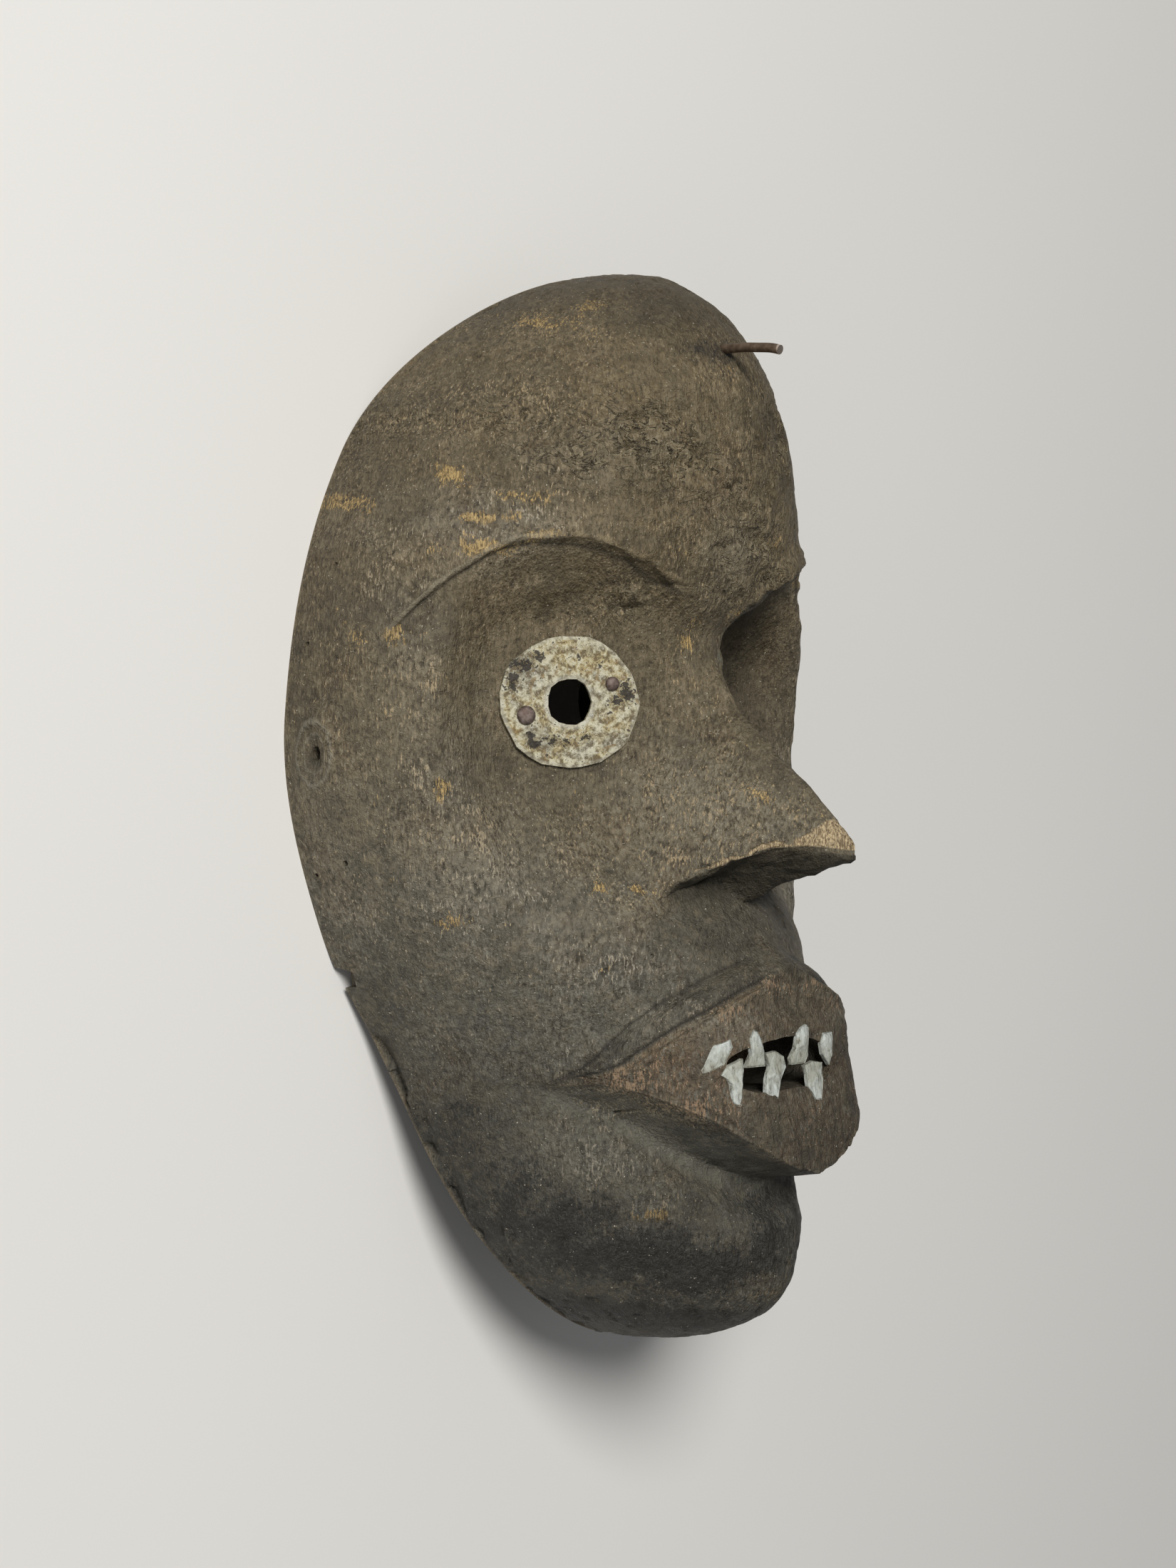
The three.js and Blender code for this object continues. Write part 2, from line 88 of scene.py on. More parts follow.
def half_width(y):
    full = 2 + 0.12 * bump((y - 42) / 50)
    worn = 1.7 * smooth((-34 - y) / 20) * smooth((y + 100) / 35)
    reach = JAW_REACH + (SIDE_REACH - JAW_REACH) * smooth((y + 70) / 90)
    return np.sqrt(clip(1 - np.abs(y / TOP) ** full)) * reach - worn


def rim(y):
    crown = CROWN_LIFT * clip((y - FLAT_UP) / (TOP - FLAT_UP)) ** 2
    return crown + CHIN_LIFT * clip((FLAT_DOWN - y) / (TOP + FLAT_DOWN)) ** 1.5


# Stations of each curve, by height from chin to crown or outward from the middle line.
crest = curve([
    (-125, 33), (-124, 51), (-120, 65), (-115, 73), (-108, 77), (-98, 77.5), (-88, 75), (-72, 75),
    (-50, 77), (-30, 78), (-15, 74), (5, 65), (22, 61.5), (42, 62.5), (58, 66.5), (78, 69), (92, 68.5),
    (104, 65), (114, 58.5), (121, 49.5), (124, 41), (125, 28)])
round_left = curve([
    (-125, 2), (-100, 1.9), (-60, 1.6), (-35, 1.62), (-20, 1.72), (5, 1.85), (20, 2.3), (29, 3),
    (36, 3.6), (44, 3.5), (50, 2.75), (58, 2.2), (66, 2.05), (80, 2), (125, 2)])
round_right = curve([
    (-125, 2), (-100, 1.9), (-60, 1.6), (-20, 1.68), (5, 1.72), (20, 1.76), (36, 1.85), (50, 1.95),
    (66, 2.02), (80, 2), (125, 2)])
lean = curve([(-125, 1), (-95, 2.5), (-70, 3), (-40, 0.5), (-20, 0), (125, 0)])
brow = curve([
    (0, 46.5), (4, 46.7), (10, 47.7), (14, 49), (19, 50.4), (26, 53.6), (32, 56.2), (38, 58), (44, 58.8),
    (50, 58.4), (54, 57.2), (60.5, 51.6), (64, 47.5), (68, 41.5), (72, 33), (76, 20)])
floor_right = curve([
    (0, 55), (9, 54), (18, 51), (32.4, 43.3), (41, 38.2), (46, 35.6), (50, 34.2), (54, 33.6), (59, 33.6),
    (64, 33.5), (70, 31), (75, 25), (80, 8)])
floor_left = curve([
    (0, 55), (7, 51.4), (13, 47.5), (27.3, 39), (36, 33.8), (41, 31.3), (46, 30.2), (51, 31), (58, 34),
    (65, 36), (70, 33.7), (75, 26), (80, 8)])
ridge = curve([
    (-21, 96), (-15, 98), (-12.5, 98.6), (-9.5, 98.6), (-5.7, 96.3), (3, 88), (9.2, 80.8), (14.2, 74.6),
    (17.7, 70.8), (21, 67.4), (25, 65), (28, 63), (32.5, 60.6), (37, 59.2), (42, 58.4), (46, 59),
    (50, 60.8), (58, 64.5)])
nose_reach = curve([(-24, 25.5), (-14, 24.5), (0, 22), (10, 17.5), (22, 12.6), (35, 11), (50, 9), (60, 8)])
lip_line = curve([
    (-90, 82), (-85, 85.6), (-80, 85.8), (-75, 85.2), (-66, 83.6), (-59, 82.3), (-52, 82), (-44, 80.5),
    (-36, 80), (-30, 79)])
lip_drop = curve([(0, 0), (10, 0.4), (19, 1.9), (26, 5.5), (32, 13), (38, 23), (42, 31), (47, 46)])
lip_top = curve([
    (0, -35.8), (6, -38), (19, -42.6), (28, -47.8), (33.5, -53.2), (38, -58.2), (42, -61), (55, -66)])
lip_foot = curve([
    (0, -82.6), (6, -81.2), (12.5, -78.8), (17, -76.4), (22.5, -73), (29.5, -67.8), (36, -63.2),
    (42, -61), (55, -56)])
hollow_crest = curve([
    (-117, 28), (-112, 46), (-100, 60), (-80, 62), (-55, 60.5), (-25, 52), (5, 33), (25, 30), (45, 37),
    (65, 51), (85, 55), (100, 50), (111, 40), (117, 26)])


def shell(x, y):
    reach = np.maximum(half_width(y), 1e-6)
    low = rim(y)
    high = np.maximum(crest(y), low + 0.01)
    flat = clip(x / reach, -1, 1)
    t = np.abs(flat - lean(y) / np.maximum(reach, 8) * (1 - flat * flat))
    return low + (high - low) * np.sqrt(1 - clip(t) ** np.where(x < 0, round_right(y), round_left(y)))


def sunk(x, y):
    ax = np.abs(x)
    below = brow(ax) - y
    up = 0.36 * smooth(below / 8) + 0.64 * smooth(below / 25)
    outer = smooth((ax - 44) / 20)
    down = 1 - smooth((14 + 8 * outer - y) / (60 - 16 * outer))
    edge = 0.9 * bump((below + 1.5) / 5) * smooth((ax - 14) / 14) * smooth((64 - ax) / 14)
    z = shell(x, y)
    return z + np.minimum(np.where(x < 0, floor_right(ax), floor_left(ax)) - z, 0) * up * down + edge


def nose_edge(ax):
    s = clip(ax / 23.5)
    return -10 - 9.5 * s ** 2.4 + 1.5 * bump((s - 0.35) / 0.35)


def nose(ax, y, base):
    t = clip(ax / nose_reach(y))
    side = clip(1 - (np.hypot(t, 0.2) - 0.2) / (np.hypot(1, 0.2) - 0.2)) ** 1.3
    cut = nose_edge(ax) - 2 * smooth((9 - ax) / 9)
    deep = 8.2 * (1 - clip(ax / 23.5)) + 2
    under = np.where(y < cut, clip(1 - (cut - y) / deep) ** 0.9, 1.0)
    wing = 2.2 * bump((y - cut - 2.5) / 6.5) * bump((ax / 23.5 - 0.68) / 0.42)
    return np.maximum(ridge(y) - base, 0) * side * smooth((60 - y) / 14) * under + wing


def lips(x, y, base):
    ax = np.abs(x - lean(y))
    proud = np.maximum(lip_line(y) - lip_drop(ax) - base, 0) + 1.5 * smooth((46 - ax) / 6)
    above = clip(1 - (y - lip_top(ax)) / 7) ** 1.6
    below = clip(1 - (lip_foot(ax) - y) / 3.4) ** 1.6
    return proud * np.minimum(above, below) * smooth((50 - ax) / 8)


def groove(x, y):
    ax = np.abs(x - lean(y))
    return 3.0 * bump((y - lip_foot(ax) + 5) / 8.5) * smooth((48 - ax) / 14)


def face(x, y):
    ax = np.abs(x)
    z = sunk(x, y)
    for side in (-1, 1):
        off = np.hypot((x - side * EYE_X[side]) / np.cos(EYE_TILT), y - EYE_Y)
        w = (1 - smooth((off - 17) / 11)) * (side * x > 0)
        z = z * (1 - w) + (EYE_Z[side] + np.tan(EYE_TILT) * (EYE_X[side] - ax)) * w
    z = z + nose(ax, y, sunk(0 * x, y)) - groove(x, y)
    return z + lips(x, y, z)


def hollow_reach(y):
    return half_width(y * TOP / HOLLOW_TOP) * (1 - RIM_WALL / SIDE_REACH)


def hollow(x, y):
    low = rim(y) - HOLLOW_DROP
    t = clip(np.abs(x) / np.maximum(hollow_reach(y), 1e-6))
    return low + (hollow_crest(y) - low) * np.sqrt(1 - t ** 2.4)


# Mesh rows run along the lips, the nose edge and the brow.
BENDS = [
    (-125, lambda lx, ax: -125), (-106, lambda lx, ax: -106),
    (-83, lambda lx, ax: np.minimum(lip_foot(lx), -60.5) - 18 * smooth((lx - 43) / 16)),
    (-59, lambda lx, ax: -58),
    (-35.5, lambda lx, ax: np.maximum(lip_top(lx), -54.5) + 16 * smooth((lx - 43) / 16)),
    (-10, lambda lx, ax: nose_edge(ax) + 5 * smooth((ax - 24) / 14)),
    (14, lambda lx, ax: 14), (44, lambda lx, ax: np.maximum(brow(ax), 38)),
    (72, lambda lx, ax: 74), (125, lambda lx, ax: 125)]


def bend(ref, x):
    lx, ax = np.abs(x - lean(ref)), np.abs(x)
    at = np.array([a for a, _ in BENDS])
    goes = np.stack([to(lx, ax) + 0 * x for _, to in BENDS])
    i = clip(np.searchsorted(at, ref) - 1, 0, len(at) - 2)
    t = (ref - at[i]) / (at[i + 1] - at[i])
    low = np.take_along_axis(goes, i[None], 0)[0]
    return low * (1 - t) + np.take_along_axis(goes, i[None] + 1, 0)[0] * t


def spread(n, lo, hi, density):
    fine = np.linspace(lo, hi, 6001)
    total = np.concatenate([[0], np.cumsum(density((fine[1:] + fine[:-1]) / 2))])
    return np.interp(np.linspace(0, total[-1], n + 1), total, fine)


# Seeded grain, pits and tool marks, all worked out from position.
def lattice(i, j, k, seed):
    h = (i * 73856093) ^ (j * 19349663) ^ (k * 83492791) ^ (seed * 2654435)
    h = (h ^ (h >> 13)) * 1274126177
    return ((h ^ (h >> 16)) & 0xFFFF) / 65535.0


def cloud(p, size, seed):
    q = p / size
    cell = np.floor(q).astype(np.int64)
    f = q - cell
    f = f * f * (3 - 2 * f)
    total = 0.0
    for corner in range(8):
        o = [(corner >> b) & 1 for b in range(3)]
        weight = 1.0
        for b in range(3):
            weight = weight * (f[..., b] if o[b] else 1 - f[..., b])
        total = total + weight * lattice(*(cell[..., b] + o[b] for b in range(3)), seed)
    return total


def billow(p, size, layers, seed):
    total, weight = 0.0, 0.0
    for n in range(layers):
        total = total + 0.5 ** n * cloud(p, np.asarray(size) / 2 ** n, seed + n)
        weight += 0.5 ** n
    return total / weight


def scoops(p, size, seed):
    q = p / size
    cell = np.floor(q).astype(np.int64)
    near = np.full(q.shape[:-1], 9.0)
    for n in range(27):
        c = cell + np.array([n % 3 - 1, n // 3 % 3 - 1, n // 9 - 1])
        spot = c + np.stack([lattice(c[..., 0], c[..., 1], c[..., 2], seed + b) for b in range(3)], -1)
        near = np.minimum(near, ((q - spot) ** 2).sum(-1))
    return np.sqrt(near)


def patch(x, y, spots):
    total = 0.0
    for cx, cy, rx, ry, strength in spots:
        total = np.maximum(total, strength * np.exp(-(((x - cx) / rx) ** 2) - ((y - cy) / ry) ** 2))
    return total


# Patches of bark-like crust: x, y, half sizes, strength.
BARK = [
    (-27, 82, 9, 8, 1.0), (-20, 78, 7, 7, 1.0), (-40, 77, 9, 6, 0.65), (-46, 86, 8, 5, 0.5),
    (-9, 73, 8, 6, 0.7), (4, 60, 13, 9, 1.0), (14, 54, 8, 7, 0.9), (2, 49, 9, 5, 0.7),
    (-24, 46, 7, 5, 0.6), (20, 84, 12, 9, 0.6), (-55, 86, 7, 5, 0.5)]


def relief(p):
    x, y, z = p[..., 0], p[..., 1], p[..., 2]
    ax, lx = np.abs(x), np.abs(x - lean(y))
    # Slow swell, adze scoops, grain and dents.
    lift = 0.9 * (billow(p, 34.0, 3, 3) - 0.5)
    lift += 0.34 * (scoops(p, (8.0, 12.0, 8.0), 11) - 0.5)
    lift += 0.35 * (billow(p, (1.9, 5.0, 1.9), 2, 23) - 0.5)
    lift += 0.3 * (billow(p, 3.6, 2, 31) - 0.5)
    # Crust lifting in two steps, knife marks and pits.
    bark = patch(x, y, BARK)
    crust = billow(p, (6.0, 3.4, 6.0), 3, 41)
    lift += (0.12 + 1.2 * bark) * 0.9 * (smooth((crust - 0.44) / 0.05) + smooth((crust - 0.56) / 0.05) - 1)
    knife = billow(p, (2.4, 14.0, 2.4), 2, 53)
    lift -= 0.35 * smooth((knife - 0.68) / 0.1)
    lift -= 0.35 * smooth((cloud(p, 1.9, 61) - 0.84) / 0.08)
    # The knot's ring and a small one above it.
    side = np.hypot((y - KNOT[1]) / KNOT_TALL, (z - KNOT[2]) / KNOT_DEEP)
    near = smooth((-70 - x) / 4)
    lift += near * (0.6 * bump((side - 1) / 0.24) - 0.8 * bump(side / 0.75))
    small = np.hypot((y - 53.5) / 3.0, (z - 9.4) / 2.0)
    lift += smooth((-66 - x) / 4) * 0.35 * bump((small - 1) / 0.5)
    # The split edge of the nose and its rough underside.
    cut = nose_edge(ax)
    raw = bump((y - cut - 0.8) / 2.8) * smooth((24 - ax) / 3)
    lift -= raw * 1.2 * smooth((billow(p, (1.8, 4.0, 1.8), 2, 71) - 0.42) / 0.22)
    beneath = smooth((cut - y) / 1.5) * smooth((y + 24) / 4) * smooth((23 - ax) / 3)
    lift += beneath * 1.5 * (billow(p, (7.0, 3.0, 3.4), 3, 77) - 0.5)
    # The ledge of the brow and the cut under it.
    below = brow(ax) - y
    ledge = smooth((ax - 10) / 8) * smooth((74 - ax) / 10)
    wave = below + 2.2 * (billow(p, 5.0, 3, 83) - 0.5)
    proud = 0.1 + 0.7 * smooth((billow(p, 5.0, 3, 131) - 0.36) / 0.3)
    lift += ledge * proud * smooth((wave + 5) / 4.5) * smooth((0.5 - wave) / 0.9)
    lift -= ledge * smooth(wave + 0.2) * smooth((8 - wave) / 7)
    # The rolled edge of the lips, its fold, the foot and the corners.
    shut = smooth((lx - 6) / 6) * smooth((44 - lx) / 3)
    over = y - lip_top(lx)
    fold_at = 0.7 + 3.8 * smooth((45 - lx) / 12)
    wave = over + 0.6 * (billow(p, 4.0, 2, 89) - 0.5)
    rolled = 0.6 * bump((wave - 0.55 * fold_at) / 2.0) - 0.9 * bump((wave - 0.3) / 1.2)
    lift += shut * (rolled - 0.7 * bump((wave - fold_at) / 1.3))
    lift += shut * 0.4 * bump((wave + 1.4) / 1.6)
    foot = lip_foot(lx) - y
    chipped = 0.5 * bump((foot + 1.2) / 2.0) * smooth((billow(p, 2.6, 2, 101) - 0.45) / 0.2)
    lift -= smooth((44 - lx) / 4) * chipped
    lift -= 0.9 * (bump((lx - 40.5) / 4.5) * bump((y + 60.8) / 3.0))
    mouth = smooth(over / -3) * smooth((foot + 3) / -3) * smooth((42 - lx) / 5)
    lift += mouth * 0.8 * (billow(p, (3.0, 7.0, 5.0), 3, 107) - 0.5)
    # The frayed rim, a crack above the lips and a fold under the nose.
    edge = 1 - smooth((z - rim(y)) / 6)
    ragged = smooth((-50 - y) / 8) * smooth((y + 96) / 12) * (x < 0)
    fray = smooth((billow(p, (3.0, 4.0, 3.0), 2, 97) - 0.48) / 0.12)
    lift -= edge * (0.5 + 1.6 * ragged) * fray
    crack = np.abs(y + 46.5 + 0.8 * np.sin(x * 0.6) + 0.15 * (x - 14)) / 0.8
    lift -= 0.7 * bump(crack) * bump((x - 15) / 9)
    fold = np.abs(x - 0.5 - 0.4 * (y + 42)) / 1.4
    lift -= 0.8 * bump(fold) * bump((y + 41) / 5)
    return lift


def make_mesh(name, points, faces):
    mesh = bpy.data.meshes.new(name)
    mesh.from_pydata(points.tolist(), [], faces)
    mesh.update()
    piece = bpy.data.objects.new(name, mesh)
    bpy.context.collection.objects.link(piece)
    return piece


def points_of(piece):
    at = np.empty(len(piece.data.vertices) * 3)
    piece.data.vertices.foreach_get("co", at)
    return at.reshape(-1, 3) * 1000


def set_mark(piece, name, values):
    mark = piece.data.attributes.new(name, "FLOAT", "POINT")
    mark.data.foreach_set("value", np.ascontiguousarray(values, dtype=np.float32).ravel())


def soften(piece, degrees):
    piece.data.shade_smooth()
    piece.data.set_sharp_from_angle(angle=np.radians(degrees))


def mound(name, rows, turns, reach, height, warp, carve):
    ref = np.repeat(rows[1:-1, None], len(turns), 1)
    swing = np.sin(turns)[None, :]
    y = ref
    for _ in range(3):
        y = warp(ref, reach(y) * swing)
    x = reach(y) * swing
    grid = np.stack([x, y, height(x, y)], -1)
    along, across = np.gradient(grid, axis=0), np.gradient(grid, axis=1)
    out = np.cross(across, along)
    out /= np.maximum(np.linalg.norm(out, axis=-1, keepdims=True), 1e-9)
    grid = grid + out * (carve(grid) * smooth((np.abs(np.abs(turns) - np.pi / 2) * 60))[None, :])[..., None]
    ends = np.array([[0, y[0], height(np.zeros(1), y)[0]] for y in (rows[:1], rows[-1:])])
    n, m = grid.shape[:2]
    points = np.concatenate([grid.reshape(-1, 3), ends]) / 1000
    first, last = n * m, n * m + 1
    faces = []
    for i in range(n - 1):
        faces += [(i * m + j, i * m + j + 1, (i + 1) * m + j + 1, (i + 1) * m + j) for j in range(m - 1)]
    faces += [(first, j + 1, j) for j in range(m - 1)]
    faces += [(last, (n - 1) * m + j, (n - 1) * m + j + 1) for j in range(m - 1)]
    faces += [(first, 0, m - 1), (last, n * m - 1, (n - 1) * m)]
    for i in range(n - 1):
        a, b, c, d = i * m, (i + 1) * m, (i + 1) * m + m - 1, i * m + m - 1
        faces += [(a, b, c), (a, c, d)]
    return make_mesh(name, points, faces)


def loft(name, rings):
    n = len(rings[0])
    middles = [[np.mean(rings[0], 0)], [np.mean(rings[-1], 0)]]
    points = np.concatenate([np.array(r, float) for r in rings] + middles)
    first, top = len(points) - 2, (len(rings) - 1) * n
    faces = []
    for j in range(n):
        k = (j + 1) % n
        faces += [(first, k, j), (first + 1, top + j, top + k)]
        faces += [(i * n + j, i * n + k, (i + 1) * n + k, (i + 1) * n + j) for i in range(len(rings) - 1)]
    return make_mesh(name, points / 1000, faces)


def cut_away(piece, tools):
    for tool in tools:
        cut = piece.modifiers.new("cut", "BOOLEAN")
        cut.operation, cut.solver, cut.object = "DIFFERENCE", "MANIFOLD", tool
    seen = piece.evaluated_get(bpy.context.evaluated_depsgraph_get())
    done = bpy.data.meshes.new_from_object(seen)
    piece.modifiers.clear()
    old, piece.data = piece.data, done
    bpy.data.meshes.remove(old)
    done.name = piece.name
    for tool in tools:
        bpy.data.objects.remove(tool)


def ring(radius, n, z, wobble=0.0):
    a = np.linspace(0, 2 * np.pi, n, endpoint=False)
    r = radius * (1 + wobble * np.sin(3 * a + radius) + 0.6 * wobble * np.sin(7 * a))
    return np.stack([r * np.cos(a), r * np.sin(a), np.full(n, z)], -1)


def on_eye(points, side):
    u, v, w = np.asarray(points, float).T
    c, s = np.cos(EYE_TILT), np.sin(EYE_TILT)
    x = side * EYE_X[side] + u * c + side * w * s
    return np.stack([x, EYE_Y + v, EYE_Z[side] - side * u * s + w * c], -1)


def fineness(y):
    share = 0.8 + 0.7 * bump((y + 12) / 9) + 0.4 * bump((y + 36) / 9)
    share = share + 0.7 * bump((y + 85) / 8) + 0.6 * bump((y - 42) / 8)
    return (1 / np.sqrt(np.maximum(1 - (y / TOP) ** 2, 0.01))) * share


rows = spread(ROWS, -TOP, TOP, fineness)
turns = spread(TURNS, -np.pi / 2, np.pi / 2, lambda t: 0.9 + 0.7 * bump(t / 0.6))
mask = mound("carved_mask", rows, turns, half_width, face, bend, relief)


def gouged(p):
    return 0.9 * (scoops(p, (11.0, 17.0, 13.0), 7) - 0.5) + 0.5 * (billow(p, 26.0, 2, 17) - 0.5)


rows = spread(
    HOLLOW_ROWS, -HOLLOW_TOP, HOLLOW_TOP, lambda y: 1 / np.sqrt(np.maximum(1 - (y / HOLLOW_TOP) ** 2, 0.02)))
turns = np.linspace(-np.pi / 2, np.pi / 2, HOLLOW_TURNS)
tools = [mound("hollow", rows, turns, hollow_reach, hollow, lambda ref, x: ref, gouged)]
for side in (-1, 1):
    sight = [ring(16, 40, -22, 0.02), ring(6.8, 40, 0, 0.03), ring(6.8, 40, 6, 0.03)]
    tools.append(loft("sight", [on_eye(r, side) for r in sight]))


def slit(grow, z):
    a = np.linspace(0, 2 * np.pi, 72, endpoint=False)
    c, s = np.cos(a), np.sin(a)
    u, v = np.sign(c) * np.abs(c) ** (2 / 2.8), np.sign(s) * np.abs(s) ** (2 / 2.8)
    bow = 0.9 * (1 - u * u) * np.where(s > 0, 1, 0.2) + 0.25 * np.sin(5 * u + 1) + 0.12 * np.sin(13 * u)
    x, y = MOUTH_X + (MOUTH_REACH + grow) * u, MOUTH_Y + (MOUTH_HALF + 0.4 * grow) * v + bow
    return np.stack([x, y, 0 * u + z], -1)


def drilled(name, at, radius, sides, wobble, ends):
    hole = ring(radius, sides, 0, wobble)
    return loft(name, [
        np.stack([at[0] + out + 0 * hole[:, 0], at[1] + hole[:, 1] * tall, at[2] - hole[:, 0] * wide], -1)
        for out, tall, wide in ends])


tools.append(loft("slit", [slit(6, 40), slit(0.5, 74), slit(0, 100)]))
tools.append(drilled("knot", KNOT, 1.7, 20, 0.08, [(-3, 1.3, 1), (5, 0.6, 0.6)]))
for *at, radius in RIM_WORMS:
    tools.append(drilled("worm", at, radius, 12, 0.1, [(-4, 1, 1), (4, 0.5, 0.5)]))
for x, y, z, radius in FACE_WORMS:
    hole = ring(radius, 12, 0, 0.1)
    tools.append(loft("worm", [hole + (x, y, z - 3), hole + (x, y, z + 4)]))
nick = []
for x, half, up in NOTCH:
    corners = [(-half, -1), (half, -1), (half * 0.7, up), (-half * 0.7, up)]
    nick.append([(x, NOTCH_Y + y, z) for y, z in corners])
tools.append(loft("notch", nick))
cut_away(mask, tools)

# Spots where the wood is worn, rubbed yellow, or dark, and spots of painted grey sheen, painted sheen and
# painted shade: x, y, half sizes, strength.
NEAR_WEAR = [
    (-58, 57, 12, 5, 0.9), (-50, 65, 12, 8, 0.7), (-70, 47, 5, 14, 0.6), (-73, 38, 4, 10, 0.5),
    (-68, 28, 5, 14, 0.8), (-64, 3, 7, 12, 0.9), (-58, -6, 8, 9, 1.0), (-54, -14, 12, 12, 0.75),
    (-40, -12, 14, 8, 0.5), (-62, -24, 8, 6, 0.5), (-32, -19, 9, 4, 0.8), (-37, -36, 7, 6, 0.7),
    (-32, 109, 9, 5, 0.9), (-25, 113, 8, 4, 0.7), (-49, 93, 6, 5, 0.6), (-42, 91, 6, 6, 0.7),
    (-56, 86, 7, 6, 0.6), (-60, 75, 7, 8, 0.5), (-12, 2, 9, 10, 0.8), (-7, 39, 5, 12, 0.7),
    (-17, -11, 7, 4, 0.9), (-35, -60, 6, 5, 1.3), (-27, -67, 9, 4, 1.1), (-22, -46, 9, 3, 1.0),
    (-5, -40, 7, 3, 0.9), (-25, -92, 7, 6, 0.9), (-33, -80, 8, 9, 0.7), (2, -74, 10, 6, 0.6),
    (-4, -107, 9, 7, 0.5), (2, 80, 5, 16, 0.6), (-6, 97, 8, 6, 0.7), (-17, 61, 8, 5, 0.7),
    (-24, 46, 8, 5, 0.4), (-30, 60, 14, 3, 0.5)]
OCHRE = [
    (-57, 56.5, 8, 2.6, 1.0), (-49, 59.5, 5, 1.4, 0.9), (-56, 63, 4.5, 2, 1.0), (-50, 67.5, 5, 2.5, 0.7),
    (-58, 73, 2, 3, 1.0), (-32, 109, 6, 3.5, 0.7), (-25, 113.5, 5, 2, 0.7), (-64, 4, 3, 4, 0.9),
    (-69, 37, 3, 5, 0.7), (-73, 38, 2, 4, 0.6), (-34, -18.5, 4, 2, 0.9), (-27, -18.5, 2, 1.6, 1.0),
    (-7, 2, 2, 2, 0.8), (-7, 39, 3, 7, 0.6), (-25, -91.5, 3.2, 2.2, 0.9), (-60, -25, 3, 2.5, 0.7),
    (-37, -36, 3.5, 3.5, 0.5), (2, 78, 4, 14, 0.5), (-17, 61, 6, 4, 0.5), (-5, 97, 5, 4, 0.4),
    (-67, 68, 2, 4, 0.7)]
# Painted grey sheen, on wood that is smoother and shinier there.
GREY_SHEEN = [
    (-56, 62, 13, 9, 0.8), (-66, 42, 6, 10, 0.7), (-52, -24, 18, 14, 0.9), (-43, -50, 14, 12, 1.0),
    (-62, 6, 8, 14, 0.5), (-34, -38, 22, 12, 0.8), (-34, -78, 14, 9, 0.8), (-8, -28, 12, 8, 0.7),
    (-40, 76, 14, 8, 0.4), (-30, -95, 16, 12, 0.6)]
DARK = [
    (-26, -100, 10, 7, 1.0), (-15, -104, 11, 7, 1.0), (-35, -94, 7, 8, 0.8), (-3, -101, 10, 8, 0.75),
    (-41, -86, 4, 9, 0.6), (2, -92, 12, 5, 0.6), (-48, -74, 5, 9, 0.45), (-22, -116, 24, 5, 0.7),
    (14, -98, 16, 12, 0.5), (-8, 103, 9, 3, 0.6), (-18, -28, 12, 7, 0.3)]
# Painted sheen: lighter spots on the nose side, cheeks, lips and brow, where they face the light.
PAINTED_SHEEN = [
    (-13, 1, 8, 12, 1.0), (-56, -14, 11, 14, 0.9), (-44, -26, 12, 8, 0.7), (-24, -48, 12, 4, 0.9),
    (2, 58, 12, 10, 0.8), (-54, 58, 14, 8, 0.5), (-68, 30, 4, 14, 0.5), (-35, -78, 8, 7, 0.5)]
SHADE = [
    (-6, -30, 18, 7, 0.9), (12, -28, 14, 10, 0.8), (-45, -60, 9, 9, 0.4), (6, -75, 13, 8, 0.7),
    (26, -58, 14, 22, 0.7), (-66, 84, 12, 20, 0.7), (-74, 55, 6, 24, 0.75), (-10, 116, 30, 9, 0.7),
    (-52, -78, 10, 16, 0.4)]
spots = points_of(mask)
px, py, pz = spots.T
ax, lx = np.abs(px), np.abs(px - lean(py))
skin = face(px, py)
within = ax < hollow_reach(py) + 0.3
inside = (within & (pz < hollow(px, py) + 2.2) & (pz < skin - 2.5)).astype(float)
outer = 1 - inside
lip_area = smooth((lip_top(lx) + 0.5 - py) / 1.2) * smooth((py - lip_foot(lx) + 0.6) / 1.2)
lip_area = lip_area * smooth((43 - lx) / 3)
under_nose = smooth((nose_edge(ax) - 0.4 - py) / 1.0) * smooth((py + 24) / 4) * smooth((23 - ax) / 3)
under_lip = smooth((lip_foot(lx) - 0.5 - py) / 1.2) * smooth((py - lip_foot(lx) + 9) / 5)
under_lip = under_lip * smooth((47 - lx) / 6)
lip_corner = bump((lx - 43) / 4) * bump((py + 61.5) / 3)
nail_foot = bump(np.hypot(px + 2.6, py - 103.8) / 2.6) * (pz > 30)
far_socket = 1.3 * bump((px - 36) / 38) * bump((py - 24) / 42) * (px > 0)
over = py - lip_top(lx)
shut = smooth((lx - 5) / 6) * smooth((44 - lx) / 3)
shelf = smooth((ax - 10) / 8) * smooth((74 - ax) / 9)
in_slit = (np.abs(px - MOUTH_X) < MOUTH_REACH + 2) & (np.abs(py - MOUTH_Y) < MOUTH_HALF + 2.5)
in_slit &= pz < skin - 0.9
in_sight = np.zeros(len(px), bool)
for side in (-1, 1):
    away = spots - (side * EYE_X[side], EYE_Y, EYE_Z[side])
    c, s = np.cos(EYE_TILT), np.sin(EYE_TILT)
    deep = away[:, 0] * side * s + away[:, 2] * c
    off = np.hypot(away[:, 0] * c - away[:, 2] * side * s, away[:, 1])
    in_sight |= (off < 7.6 - 0.42 * np.minimum(deep, 0)) & (deep < -0.4) & (deep > -24)
hidden = (in_slit | in_sight).astype(float)
# Painted shade under the nose, under the lower lip, in the mouth corners, on the walls of the slit and the
# sight holes, and under the bent nail; under the nose there is dirt as well.
soot = np.maximum.reduce([0.9 * under_nose, 0.12 * under_lip, 0.8 * lip_corner, hidden, nail_foot])
